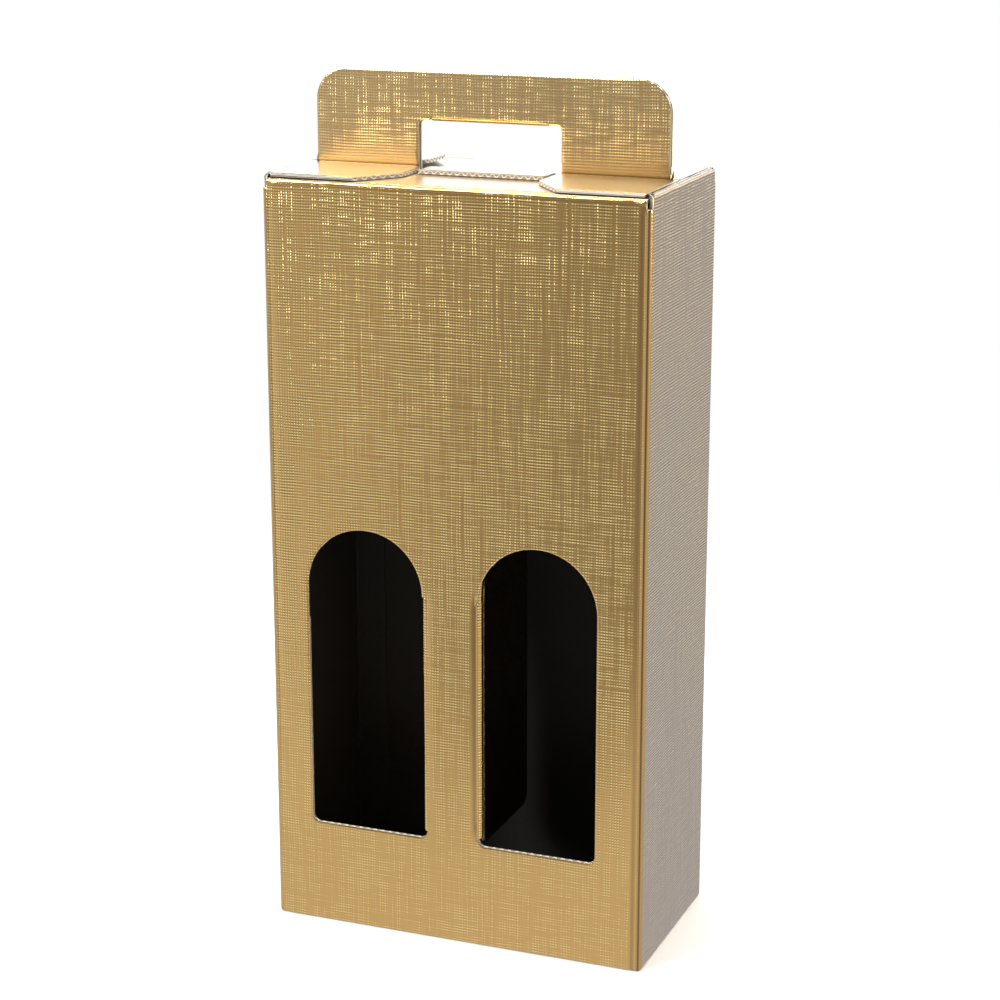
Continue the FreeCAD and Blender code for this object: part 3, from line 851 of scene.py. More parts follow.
# Places on the strip: u for an x on the front or the back, and v for a height

def frontU(x):
    return planMarks[4] + (halfWidth - cornerRadius - x)


def backU(x):
    return x + halfWidth - wallLook["seamSetBack"]


def wallV(z):
    return z + riseStart


creaseX = {"left": -hinges["fold_window_flap_left"].x,
           "right": hinges["fold_window_flap_right"].x}
windowFoot = wallV(wallLook["creaseFoot"])
windowHead = wallV(wallLook["creaseHead"])


# A soft hump of height 1

def hump(value, centre, width):
    return math.exp(-((value - centre) / width) ** 2)


# The board beside a fold, by the distance from it

def foldDip(distance):
    if not 0 <= distance < wallLook["foldDipReach"]:
        return 0.0
    sink = (1 - distance / wallLook["foldDipReach"]) ** 2
    return wallLook["foldDip"] * sink * min(1.0, distance / wallLook["ridgeWidth"])


# How far the foil lies below the flat wall

def wallRelief(u, v):
    look = wallLook
    extra = 0.0
    for start, end in zip(planMarks[1:8:2], planMarks[2:9:2]):
        fromWide = (u - start) if start in (planMarks[1], planMarks[5]) else (end - u)
        extra += look["cornerGroove"] * hump(fromWide, look["cornerGrooveAt"],
                                             look["cornerGrooveWidth"])
        extra += foldDip(-fromWide)
    if windowFoot < v < windowHead:
        for crease, side in ((frontU(-creaseX["left"]), -1), (frontU(creaseX["right"]), 1)):
            extra += foldDip((u - crease) * side)
    for start, end in zip(planMarks[0:7:2], planMarks[1:8:2]):
        # The front stays flat, held by the window flaps' creases
        if start < u < end and start != planMarks[4]:
            share = (u - start) / (end - start)
            height = v / wallMarks[-1]
            extra += look["bow"] * math.sin(math.pi * share) * math.sin(math.pi * height)
    if v > wallMarks[2]:
        ridge = 0.5 - 0.5 * math.cos(2 * math.pi * u / look["serrationPitch"])
        risen = min(1.0, (v - wallMarks[2]) / (0.5 * crestArc))
        extra += look["serration"] * ridge * risen
    return extra


# The mark of a scored line on the foil. It smooths the linen, and only at the front right
# corner and at the right window is it strong enough to paint shade into the fold.

def wallScoreAndShade(u, v):
    look = wallLook
    dark = 0.0
    for start, end in zip(planMarks[1:8:2], planMarks[2:9:2]):
        fromWide = (u - start) if start in (planMarks[1], planMarks[5]) else (end - u)
        share = 1.0 if start == planMarks[3] else look["unshadedFoldShare"]
        dark += share * look["scoreGroove"] * hump(fromWide, look["scoreGrooveAt"],
                                                   look["scoreGrooveWidth"])
        dark += share * look["scoreDip"] * hump(-fromWide, look["scoreDipAt"],
                                                look["scoreDipWidth"])
        if start < u < end:
            dark += share * look["scoreArc"]
    low, high = look["footSmooth"]
    fade = min(1.0, max(0.0, (high - v) / (high - low)))
    dark = max(dark, foilLook["smoothMark"] * look["footSmoothShare"] * fade)
    if windowFoot < v < windowHead:
        for crease, side in ((frontU(-creaseX["left"]), -1), (frontU(creaseX["right"]), 1)):
            share = 1.0 if side > 0 else look["unshadedFoldShare"]
            dark += share * look["scoreDip"] * hump((u - crease) * side, look["scoreDipAt"],
                                                    look["creaseDipWidth"])
    return min(dark, 1.0)


def placeWall(u, v, depth):
    full = sheetLook["thickness"]
    extra = wallRelief(u, v) * (1 - depth / full)
    if v > wallMarks[3]:
        lip = min(1.0, (v - wallMarks[3]) / wallLook["crestLip"])
        depth *= 1 - wallLook["lipThinning"] * lip
    inward, z = follow(wallPath, v, depth + extra)
    x, y = follow(planPath, u, inward)
    return x, y, z


windowLook = {
    "width": 54.7 * mm,
    "foot": 47.6 * mm,
    "spring": 160.3 * mm,
    "corner": 3.6 * mm,
    "innerLeft": 14.7 * mm,
    "innerRight": 11.5 * mm,
    "creaseLeft": creaseX["left"],
    "creaseRight": creaseX["right"],
}


def windowCut(side, inner, crease):
    look = windowLook
    outer = inner + look["width"]
    middle = inner + look["width"] / 2
    radius = look["width"] / 2
    points = [(crease, look["foot"] + look["corner"]), (crease, look["spring"])]
    points += arc((middle, look["spring"]), radius, 180, 0, 48)
    points += arc((outer - look["corner"], look["foot"] + look["corner"]), look["corner"],
                  0, -90, 8)
    points += arc((crease + look["corner"], look["foot"] + look["corner"]), look["corner"],
                  -90, -180, 8)
    return [(frontU(side * x), wallV(z)) for x, z in points]


def makeWalls():
    total = planMarks[-1]
    sideTop = wallMarks[-1]
    frontTop = wallV(wallLook["sleeveTop"])
    notch = wallV(boxTop - board - wallLook["cornerNotch"])
    tabLow = wallV(wallLook["tabInset"])
    tabHigh = wallV(boxTop - board - wallLook["tabInset"])
    slope = wallLook["tabSlope"]
    marks = planMarks
    outline = [(0.0, 0.0), (marks[7], 0.0), (marks[8], tabLow), (total, tabLow + slope),
               (total, tabHigh - slope), (marks[8], tabHigh), (marks[7], notch)]
    outline += [(marks[7], sideTop), (marks[6], sideTop), (marks[6], notch),
                (frontU(-flapHalf), notch), (frontU(-flapHalf), frontTop),
                (frontU(flapHalf), frontTop), (frontU(flapHalf), notch),
                (marks[3], notch), (marks[3], sideTop), (marks[2], sideTop),
                (marks[2], notch), (backU(flapHalf), notch), (backU(flapHalf), frontTop),
                (0.0, frontTop)]
    windows = [windowCut(-1, windowLook["innerLeft"], windowLook["creaseLeft"]),
               windowCut(1, windowLook["innerRight"], windowLook["creaseRight"])]
    linesU = []
    near = wallLook["nearFold"]
    grid = wallLook["grid"]
    for index in range(0, 9):
        # Marks 1 to 2, 3 to 4 and so on are the folds, and the flat walls lie between them
        if index % 2:
            linesU += steps(marks[index], marks[index + 1], wallLook["foldStep"])
        else:
            linesU += [marks[index] + gap for gap in near]
            linesU += [marks[index + 1] - gap for gap in near]
            linesU += steps(marks[index] + grid, marks[index + 1] - grid, grid)
    for crease, way in ((frontU(-creaseX["left"]), -1), (frontU(creaseX["right"]), 1)):
        linesU += [crease + way * gap for gap in near]
    linesV = rowsOf(wallMarks, wallRows) + [wallMarks[3] + wallLook["lipLine"]]
    joins = [(1, frontTop), (0, frontU(-windowLook["creaseLeft"])),
             (0, frontU(windowLook["creaseRight"])), (1, 0.0), (1, sideTop)]
    strip = makeSheet("cartonWalls", [outline] + windows, placeWall, linesU, linesV, 0, joins,
                      wallScoreAndShade)
    # The tab's own cut edge is sealed by the glue, which dries dark. The windows' heads were
    # crushed at their ends, where the window flaps bend away, and their edges there are painted
    # dark in the lower half, as shade.
    edgeUvs = strip.data.uv_layers["sheet"].data
    for polygon in strip.data.polygons:
        if polygon.material_index == cutFace:
            nearHead = abs(polygon.center.z - windowHead) < wallLook["pressedHead"]
            along = min(edgeUvs[index].uv[0] for index in polygon.loop_indices)
            if along > marks[8] - wallLook["glueMargin"]:
                polygon.material_index = linerFace
            elif polygon.normal.x > 0.3 and nearHead:
                polygon.material_index = crushedShadedFace
    return strip


walls = finishPiece(makeWalls(), topMaterials, "carton", "carton")
print("walls made", len(walls.data.polygons))

# Top flaps and handle: each side of the strip folds in over the box and up again

topLook = {
    "lead": 1.0 * mm,              # straight stretch below the crest, level with the wall
    "baseFold": 0.3 * mm,
    "layerGap": 0.2 * mm,
    "legOuter": 81.3 * mm,
    "legInner": 33.0 * mm,
    "handleCorner": 14.0 * mm,
    "holeEdge": 362.2 * mm,
    "holeCorner": 2.5 * mm,
    "holeFoot": 0.3 * mm,
    "legNotch": [1.3 * mm, 1.0 * mm],      # where the flap's side steps in to the leg
    "notchHalf": 27.4 * mm,
    "tongueHalf": 29.0 * mm,
    "tongueSlit": 0.9 * mm,
    "slitDeep": 0.4 * mm,
    "tongueReach": 12.0 * mm,
    "tongueRoot": 7.1 * mm,
    "tongueClear": 0.3 * mm,
    "tongueBend": 0.6 * mm,
    "tongueTop": boxTop + board + 0.1 * mm,
    "tongueSpare": 1 * mm,       # the tongue's path still holds this far past its tip
    "crestGroove": 0.4 * mm,
    "crestGrooveWidth": 0.4 * mm,
    "crestGrooveAt": 0.3 * mm,
    "mostRaised": 0.1 * mm,      # no ridge stands higher than this
    "baseRidge": 0.4 * mm,       # the board swells before the handle's fold and dips at it
    "baseRidgeAt": 1.0 * mm,
    "baseRidgeWidth": 0.4 * mm,
    "baseDentAt": 0.2 * mm,
    "baseDentWidth": 0.3 * mm,
    "scoreCrestAt": 0.7 * mm,
    "scoreCrestWidth": 0.35 * mm,
    "scoreFootWidth": 0.4 * mm,
    "scoreCrest": 0.5,
    "scoreFoot": 0.85,
    "scoreOver": 0.5 * mm,       # the painted dark line's height over the end flaps
    "footSmooth": 18 * mm,       # the leg's linen fades towards its fold
    "rim": 0.5 * mm,             # no line of the mesh lies nearer to the sides
    "grid": 5 * mm,
}
layerOuter = topLook["layerGap"] + board
flatRun = halfDepth - board - layerOuter - topLook["baseFold"]
topPath = {
    "start": (-halfDepth, boxTop - board - topLook["lead"]),
    "heading": 90,
    "moves": [
        (topLook["lead"], 0),
        (crestArc, -90),
        (flatRun, 0),
        (topLook["baseFold"] * quarter, 90),
        (handleTop - boxTop - topLook["baseFold"], 0),
    ],
}
topMarks = marksOf(topPath)
topRows = [
    (0, 0.3 * mm, 1, 0.0, 0.35 * mm),
    (1, 0.0, 2, 1.5 * mm, 0.25 * mm),
    (2, 3 * mm, 3, -8 * mm, 4 * mm),
    (3, -6 * mm, 3, -2.5 * mm, 0.5 * mm),
    (3, -2 * mm, 4, 0.4 * mm, 0.2 * mm),
    (4, 0.7 * mm, 4, 3.4 * mm, 0.3 * mm),
    (4, 5 * mm, 5, -1 * mm, 2.5 * mm),
]
rampRun = topLook["tongueRoot"] - topLook["tongueClear"]
rampRise = topLook["tongueTop"] - boxTop
rampAngle = math.degrees(math.atan2(rampRise, rampRun))
tonguePath = {
    "start": topPath["start"],
    "heading": 90,
    "moves": [
        (topLook["lead"], 0),
        (crestArc, -90),
        (halfDepth - board - topLook["tongueRoot"] - topLook["tongueBend"] / 2, 0),
        (topLook["tongueBend"], rampAngle),
        (math.hypot(rampRun, rampRise) - topLook["tongueBend"], 0),
        (topLook["tongueBend"], -rampAngle),
        (topLook["tongueClear"] + topLook["tongueReach"], 0),
    ],
}
tongueMarks = marksOf(tonguePath)


# How far the foil lies below the flat flap, and the mark of its scored lines, which paints shade
# just below the crest and at the leg's foot

def topRelief(v):
    look = topLook
    base = topMarks[3]
    groove = look["crestGroove"] * hump(v, topMarks[2] + look["crestGrooveAt"],
                                        look["crestGrooveWidth"])
    ridge = look["baseRidge"] * hump(v, base - look["baseRidgeAt"], look["baseRidgeWidth"])
    dent = look["baseRidge"] * hump(v, base - look["baseDentAt"], look["baseDentWidth"])
    return groove + dent - ridge


def topScoreAndShade(u, v):
    along = v - wallV(wallLook["sleeveTop"])
    look = topLook
    crest = look["scoreCrest"] * hump(along, topMarks[1] - look["scoreCrestAt"],
                                      look["scoreCrestWidth"])
    foot = topMarks[4] - look["baseFold"] + board + look["scoreOver"]
    dark = crest + look["scoreFoot"] * hump(along, foot, look["scoreFootWidth"])
    fade = 1 - abs(along - foot) / look["footSmooth"]
    return max(dark, foilLook["smoothMark"] * fade)


def placeTop(side, toX):
    def place(u, v, depth):
        x = toX(u)
        along = v - wallV(wallLook["sleeveTop"])
        full = sheetLook["thickness"]
        narrow = abs(x) < topLook["tongueHalf"] + topLook["tongueSlit"] / 2
        onTongue = side > 0 and narrow and along < tongueMarks[-1] + topLook["tongueSpare"]
        extra = topRelief(along) * (1 - depth / full)
        if onTongue:
            extra = 0.0
        path = tonguePath if onTongue else topPath
        y, z = follow(path, along, depth + max(extra, -topLook["mostRaised"]))
        return x, -side * y, z
    return place


def topOutline(side, toU):
    look = topLook
    base = wallV(wallLook["sleeveTop"])
    fold = base + topMarks[3]
    up = base + topMarks[4]
    corner = look["handleCorner"]
    top = base + topMarks[5]

    def height(z):
        return up + z - boxTop - look["baseFold"]

    sideEnd, legStart = look["legNotch"]
    right = [(flapHalf, base), (flapHalf, fold - sideEnd), (look["legOuter"], fold - legStart)]
    right += arc((look["legOuter"] - corner, top - corner), corner, 0, 90, 24)
    outline = right + [(-x, v) for x, v in reversed(right)]
    holeSide = height(look["holeEdge"]) - look["holeCorner"]
    half = [(look["legInner"], holeSide)]
    half += arc((look["legInner"] - look["holeCorner"], holeSide), look["holeCorner"], 0, 90, 8)
    half += [(look["notchHalf"], height(look["holeEdge"])),
             (look["notchHalf"], height(gripFold))]
    hole = half + [(-x, v) for x, v in reversed(half)]
    low = fold - look["holeFoot"]
    if side < 0:
        hole += [(-look["legInner"], low), (look["legInner"], low)]
    else:
        tip = base + tongueMarks[-1]
        root = base + tongueMarks[3] - look["slitDeep"]
        reach = look["tongueHalf"]
        wide = reach + look["tongueSlit"]
        hole += [(-look["legInner"], low), (-wide, low), (-wide, root), (-reach, root),
                 (-reach, tip), (reach, tip), (reach, root), (wide, root), (wide, low),
                 (look["legInner"], low)]
    return ([(toU(x), v) for x, v in outline], [(toU(x), v) for x, v in hole])


def makeTop(name, side):
    toU = frontU if side < 0 else backU
    outline, hole = topOutline(side, toU)
    base = wallV(wallLook["sleeveTop"])
    ends = sorted((toU(-flapHalf), toU(flapHalf)))
    linesU = steps(ends[0] + topLook["rim"], ends[1] - topLook["rim"], topLook["grid"])
    linesV = [base + v for v in rowsOf(topMarks, topRows)]

    def toX(u):
        if side < 0:
            return halfWidth - cornerRadius - (u - planMarks[4])
        return u - halfWidth + wallLook["seamSetBack"]

    joins = [(1, base)]
    if side < 0:
        joins.append((1, base + topMarks[4] + gripFold - boxTop - topLook["baseFold"]))
    cuts = [outline, hole]
    return makeSheet(name, cuts, placeTop(side, toX), linesU, linesV, 0, joins, topScoreAndShade)


topFront = finishPiece(makeTop("topFlapFront", -1), topMaterials, "carton")
topBack = finishPiece(makeTop("topFlapBack", 1), topMaterials, "carton")
for topFlap in (topFront, topBack):
    paintTopSheen(topFlap)
print("top flaps and handle made", len(topFront.data.polygons), len(topBack.data.polygons))

# Creases of the moving flaps: a quarter round of board where each flap bends away

creaseLook = {
    "step": 0.3 * mm,
    "height": 3 * mm,
    "rim": 2 * mm,
    "headGap": 0.25 * mm,
    "drawnBelow": 3 * mm,       # under the spring line, where the drawn-round foil starts
    "drawnDeep": 6 * mm,
}


def rectangle(lowU, highU, lowV, highV):
    return [(lowU, lowV), (highU, lowV), (highU, highV), (lowU, highV)]


def makeWindowCrease(name, side, inner, crease):
    path = {"start": (-crease, -halfDepth), "heading": 180, "moves": [(crestArc, -90)]}
    start = frontU(side * crease)
    end = start + crestArc * -side

    def place(u, v, depth):
        x, y = follow(path, abs(u - start), depth)
        return -x * side, y, v - riseStart

    low, high = sorted((start, end))
    foot = wallV(windowLook["foot"] + windowLook["corner"])
    spring = wallV(windowLook["spring"])
    linesU = steps(low, high, creaseLook["step"])
    rim = creaseLook["rim"]
    linesV = steps(foot + rim, spring - rim, creaseLook["height"])
    joins = [(0, start), (0, end)]
    # Over the spring line the bend runs on between the round head and the flap
    middle = inner + windowLook["width"] / 2
    radius = windowLook["width"] / 2 - creaseLook["headGap"]
    turns = math.degrees(math.acos((middle - crease - crestArc) / radius))
    head = arc((middle, windowLook["spring"]), radius, 180, 180 - turns, 8)
    outline = [(start, foot), (start, spring)]
    outline += [(frontU(side * x), wallV(z)) for x, z in head[:-1]]
    outline += [(end, wallV(head[-1][1])), (end, foot)]
    return makeSheet(name, [outline], place, linesU, linesV, 0, joins)


def makeGripCrease():
    path = {"start": (-topLook["layerGap"], gripFold - board), "heading": 180,
            "moves": [(crestArc, -90)]}
    top = wallV(wallLook["sleeveTop"]) + topMarks[4] + gripFold - boxTop - topLook["baseFold"]

    def place(u, v, depth):
        y, z = follow(path, v - (top - crestArc), depth)
        return halfWidth - cornerRadius - (u - planMarks[4]), y, z

    low, high = frontU(gripHalf), frontU(-gripHalf)
    linesU = steps(low + creaseLook["rim"], high - creaseLook["rim"], creaseLook["height"])
    linesV = steps(top - crestArc, top, creaseLook["step"])
    joins = [(1, top), (1, top - crestArc)]
    cuts = [rectangle(low, high, top - crestArc, top)]
    return makeSheet("gripCrease", cuts, place, linesU, linesV, 0, joins)


# The foil is drawn round the cut edge where a window flap bends away under the round head

def drawRound(piece):
    for polygon in piece.data.polygons:
        high = polygon.center.z > windowLook["spring"] - creaseLook["drawnBelow"]
        near = polygon.center.y < creaseLook["drawnDeep"] - halfDepth
        if polygon.material_index == cutFace and high and near:
            polygon.material_index = foilFace


for creaseName, side in (("Left", -1), ("Right", 1)):
    crease = makeWindowCrease("windowCrease" + creaseName, side,
                              windowLook["inner" + creaseName],
                              windowLook["crease" + creaseName])
    drawRound(crease)
    finishPiece(crease, boardMaterials, "carton")
finishPiece(makeGripCrease(), boardMaterials, "carton")
print("creases made")

# End flaps: four halves that lie on the top and hold the handle's legs between them

endLook = {
    "setBack": 0.45 * mm,
    "reach": 54.85 * mm,
    "slitGap": 0.3 * mm,
    "legClearX": 4.2 * mm,
    "legClearY": 2.45 * mm,
    "side": 44.0 * mm,
    "cutLong": 15 * mm,
    "cutWide": 20 * mm,
    "corner": 3 * mm,
    "lieGap": 0.1 * mm,
    "knuckle": board + 0.05 * mm,
    "raised": 2.4,                 # degrees, the rear left half only
    "lip": 0.35 * mm,              # the cut edge along the leg is dragged up
    "lipWidth": 0.7 * mm,
    "lipLines": [0.35 * mm, 0.7 * mm, 1.4 * mm],
    "rim": 1.5 * mm,
    "grid": 4 * mm,
    "hingeLines": [0.6 * mm, 3 * mm, 0.5 * mm],       # past the set-back, up to, and the step
    "flatFrom": 6 * mm,
    "crushedWithin": 0.6 * mm,     # of the flap's outer side
    "fadeOut": 2 * mm,             # over which the rounding of a hinge edge ends
}


# A closed outline with some of its corners rounded

def roundedCut(corners, radii):
    points = []
    count = len(corners)
    for index, corner in enumerate(corners):
        if not radii[index]:
            points.append(corner)
            continue
        here = Vector(corner)
        before = (Vector(corners[index - 1]) - here).normalized()
        after = (Vector(corners[(index + 1) % count]) - here).normalized()
        half = before.angle(after) / 2
        start = here + before * radii[index] / math.tan(half)
        end = here + after * radii[index] / math.tan(half)
        centre = here + (before + after).normalized() * radii[index] / math.sin(half)
        for part in range(9):
            spot = start.lerp(end, part / 8) - centre
            points.append(tuple(centre + spot.normalized() * radii[index]))
    return points


# A flap's hinge edge is rounded off, so that it clears the fixed crease as it turns

def tuckedIn(along, height, radius, setBack):
    reach = math.sqrt(max(radius ** 2 - height ** 2, setBack ** 2))
    return (reach - setBack) * max(0.0, 1 - (along - setBack) / endLook["fadeOut"])


def makeEndFlap(name, side, half, raised=0.0):
    look = endLook
    # The linen runs on from the side wall, so the flap's place on the strip does too
    if side > 0:
        def toU(y):
            return planMarks[2] + halfDepth - cornerRadius - y
    else:
        def toU(y):
            return planMarks[6] + y + halfDepth - cornerRadius
    start = wallMarks[-1]
    corners = [(look["setBack"], look["slitGap"]), (look["legClearX"], look["slitGap"]),
               (look["legClearX"], look["legClearY"]), (look["reach"], look["legClearY"]),
               (look["reach"], look["side"] - look["cutWide"]),
               (look["reach"] - look["cutLong"], look["side"]),
               (look["setBack"], look["side"])]
    rounded = roundedCut(corners, [0, 0, 0, look["corner"], look["corner"], look["corner"], 0])
    outline = [(toU(half * y), start + s) for s, y in rounded]
    lift = math.radians(raised)

    def place(u, v, depth):
        along = v - start
        y = halfDepth - cornerRadius - (u - planMarks[2])
        if side < 0:
            y = u - planMarks[6] - halfDepth + cornerRadius
        height = look["lieGap"] + board - depth
        along += tuckedIn(along, height, look["knuckle"], look["setBack"])
        if along > look["legClearX"]:
            fromLeg = (abs(y) - look["legClearY"]) / look["lipWidth"]
            height += look["lip"] * max(0.0, 1 - fromLeg) ** 2
        outward = along * math.cos(lift) - height * math.sin(lift)
        up = along * math.sin(lift) + height * math.cos(lift)
        return side * (insideX - outward), y, boxTop + up

    spots = sorted((toU(half * look["slitGap"]), toU(half * look["side"])))
    linesU = steps(spots[0] + look["rim"], spots[1] - look["rim"], look["grid"])
    linesU += [toU(half * (look["legClearY"] + gap)) for gap in look["lipLines"]]
    near, far, step = look["hingeLines"]
    away = steps(look["setBack"] + near, far, step)
    away += steps(look["flatFrom"], look["reach"] - look["rim"], look["grid"])
    linesV = [start + s for s in away]
    return makeSheet(name, [outline], place, linesU, linesV, 0)


for sideName, side in (("left", -1), ("right", 1)):
    for halfName, half in (("front", -1), ("rear", 1)):
        node = f"end_flap_{sideName}_{halfName}"
        raised = endLook["raised"] if node == "end_flap_left_rear" else 0.0
        name = "endFlap" + sideName.capitalize() + halfName.capitalize()
        flap = makeEndFlap(name, side, half, raised)
        # The outer sides' cut edges are crushed, and their lower half is painted dark as shade
        # under the edge
        for polygon in flap.data.polygons:
            if polygon.material_index == cutFace and abs(polygon.normal.y) > 0.9:
                if abs(polygon.center.y) > endLook["side"] - endLook["crushedWithin"]:
                    polygon.material_index = crushedShadedFace
        paintTopSheen(flap)
        finishPiece(flap, topMaterials, node, node)
print("end flaps made")

# Window flaps: the cut-outs, folded in as dividers

dividerLook = {
    "cutGap": 0.4 * mm,
    "hingeGap": 0.05 * mm,
    "rims": [0.8 * mm, 1.5 * mm, 2 * mm],       # at the low u, the high u, and at both ends
    "gridAcross": 4 * mm,
    "gridUp": 5 * mm,
}


def makeDivider(name, side, inner, crease):
    look = windowLook
    gap = dividerLook["cutGap"]
    shift = inner - crease
    radius = look["width"] / 2
    middle = shift + radius
    foot = look["foot"] + gap
    far = shift + look["width"] - gap
    corner = look["corner"]
    points = [(dividerLook["hingeGap"], look["foot"] + corner),
              (dividerLook["hingeGap"], look["spring"] - gap), (shift + gap, look["spring"] - gap)]
    points += arc((middle, look["spring"]), radius - gap, 180, 0, 40)
    points += [(far, look["foot"] + corner), (far + gap - corner, foot), (corner, foot)]
    start = frontU(side * crease)
    outline = [(start - side * s, wallV(z)) for s, z in points]

    def place(u, v, depth):
        along = abs(u - start)
        height = board - depth
        along += tuckedIn(along, height, endLook["knuckle"], dividerLook["hingeGap"])
        return side * (crease + board - depth), along - insideY, v - riseStart

    spots = sorted((start, start - side * far))
    low, high, rim = dividerLook["rims"]
    linesU = steps(spots[0] + low, spots[1] - high, dividerLook["gridAcross"])
    linesV = steps(wallV(foot) + rim, wallV(look["spring"] + radius) - rim,
                   dividerLook["gridUp"])
    return makeSheet(name, [outline], place, linesU, linesV, 0)


for sideName, side in (("Left", -1), ("Right", 1)):
    node = "window_flap_" + sideName.lower()
    flap = makeDivider("windowFlap" + sideName, side, windowLook["inner" + sideName],
                       windowLook["crease" + sideName])
    drawRound(flap)
    finishPiece(flap, boardMaterials, node, node)
print("window flaps made")

# Grip flap: the hand hole's cut-out, folded back through the hole and up behind the handle

gripLook = {
    "top": 381.2 * mm,
    "back": 4.2 * mm,
    "low": gripFold - board - 0.1 * mm,
    "near": -0.15 * mm,
    "corner": 6 * mm,
    "hingeGap": 0.1 * mm,
    "rim": 1.5 * mm,
    "gridAcross": 4 * mm,
}
gripRows = [
    (0, 1.5 * mm, 1, -0.5 * mm, 3 * mm),
    (1, 0.0, 3, 0.0, 0.3 * mm),
]


def makeGrip():
    look = gripLook
    path = {
        "start": (look["back"], look["top"]),
        "heading": 270,
        "moves": [
            (look["top"] - look["low"] - board, 0),
            (crestArc, -90),
            (look["back"] - board - look["near"], 0),
        ],
    }
    marks = marksOf(path)
    corners = [(-gripHalf, 0.0), (gripHalf, 0.0), (gripHalf, marks[3]), (-gripHalf, marks[3])]
    outline = roundedCut(corners, [look["corner"], look["corner"], 0, 0])

    def place(u, v, depth):
        height = board + look["hingeGap"] - depth
        left = marks[3] - v
        v -= tuckedIn(left, height, endLook["knuckle"], 0.0)
        y, z = follow(path, v, depth)
        return u, y, z

    linesU = steps(look["rim"] - gripHalf, gripHalf - look["rim"], look["gridAcross"])
    linesV = rowsOf(marks, gripRows)
    return makeSheet("gripFlap", [outline], place, linesU, linesV, 0)


finishPiece(makeGrip(), boardMaterials, "grip_flap", "grip_flap")
print("grip flap made")

# Bottom: two panels that lock in the middle, and a glued flap inside at each side

bottomLook = {
    "seam": 0.6 * mm,
    "lockOffset": 11 * mm,
    "lockSlant": 10 * mm,
    "innerReach": 58 * mm,
    "innerInset": 3 * mm,
    "foldGap": 0.2 * mm,
    "wallGap": 0.1 * mm,
    "glueGap": 0.02 * mm,
    "grid": 8 * mm,
    "rim": 2 * mm,
}


def makeBottomPanel(name, side):
    look = bottomLook
    wide = halfWidth - footRadius - look["foldGap"]
    deep = halfDepth - footRadius - look["foldGap"]
    gap = look["seam"] / 2
    offset = look["lockOffset"]
    slant = look["lockSlant"]
    outline = [(-wide, side * deep), (-wide, side * gap + offset),
               (-slant, side * gap + offset), (slant, side * gap - offset),
               (wide, side * gap - offset), (wide, side * deep)]

    def place(u, v, depth):
        return u, v, depth

    linesU = steps(look["rim"] - wide, wide - look["rim"], look["grid"])
    linesV = steps(look["rim"] - deep, deep - look["rim"], look["grid"])
    return makeSheet(name, [outline], place, linesU, linesV, 0)


def makeInnerBottom(name, side):
    look = bottomLook
    near = side * (insideX - look["innerReach"])
    far = side * (insideX - look["wallGap"])
    deep = insideY - look["innerInset"]

    def place(u, v, depth):
        return u, v, board + look["glueGap"] + depth

    low, high = sorted((near, far))
    linesU = steps(low + look["rim"], high - look["rim"], look["grid"])
    linesV = steps(look["rim"] - deep, deep - look["rim"], look["grid"])
    return makeSheet(name, [rectangle(low, high, -deep, deep)], place, linesU, linesV, 0)


for sideName, side in (("Front", -1), ("Rear", 1)):
    finishPiece(makeBottomPanel("bottomPanel" + sideName, side), boardMaterials, "carton")
for sideName, side in (("Left", -1), ("Right", 1)):
    finishPiece(makeInnerBottom("bottomFlap" + sideName, side), boardMaterials, "carton")
print("bottom made")

# Studio. Lengths in metres, and levels where 1 is white.

stageLook = {
    "floorHalf": 20.0,
    "floorNear": 0.3,            # from here outwards the floor turns white to the camera
    "floorFar": 0.9,
    "mirrorDark": (-0.2, -0.98, 0),      # the side to which the mirrored floor is less lit
    "mirrorFrom": 0.94,
    "mirrorFull": 1.0,
    "mirrorLevel": 0.45,
    "mirrorNear": 0.1,
    "mirrorFar": 0.5,
    "paper": "E8E8E8",
    "paperRoughness": 0.55,
    "roomLevel": 0.35,
    "darkLevel": 0.3,
    "darkEnd": (0.1, -0.97, 0.15),
    "darkFrom": 0.45,
    "darkFull": 0.85,
}

lampLook = {
    "keyFromLeft": {"at": (-0.9, -1.1, 1.3), "aim": (0, 0, 0.2), "size": (0.8, 0.8),
                    "watts": 8, "spread": 80},
    "overhead": {"at": (0.0, 0.1, 1.6), "aim": (0, 0.1, 0), "size": (1.0, 1.0),
                 "watts": 7, "spread": 100},
    "behind": {"at": (0.0, 1.6, 0.7), "aim": (0, 0, 0.3), "size": (2.4, 0.8),
               "watts": 13, "spread": 180},
    "fillFromRight": {"at": (1.3, 0.2, 0.6), "aim": (0, 0, 0.2), "size": (0.8, 0.8),
                      "watts": 9, "spread": 120},
}

# The place, aim and lens were solved from the carton's corners in the photograph
cameraLook = {
    "sensor": 36,
    "lens": 90.12,
    "at": (0.398981, -1.000037, 0.489285),
    "forward": (-0.35418579, 0.89709364, -0.2641504),
}


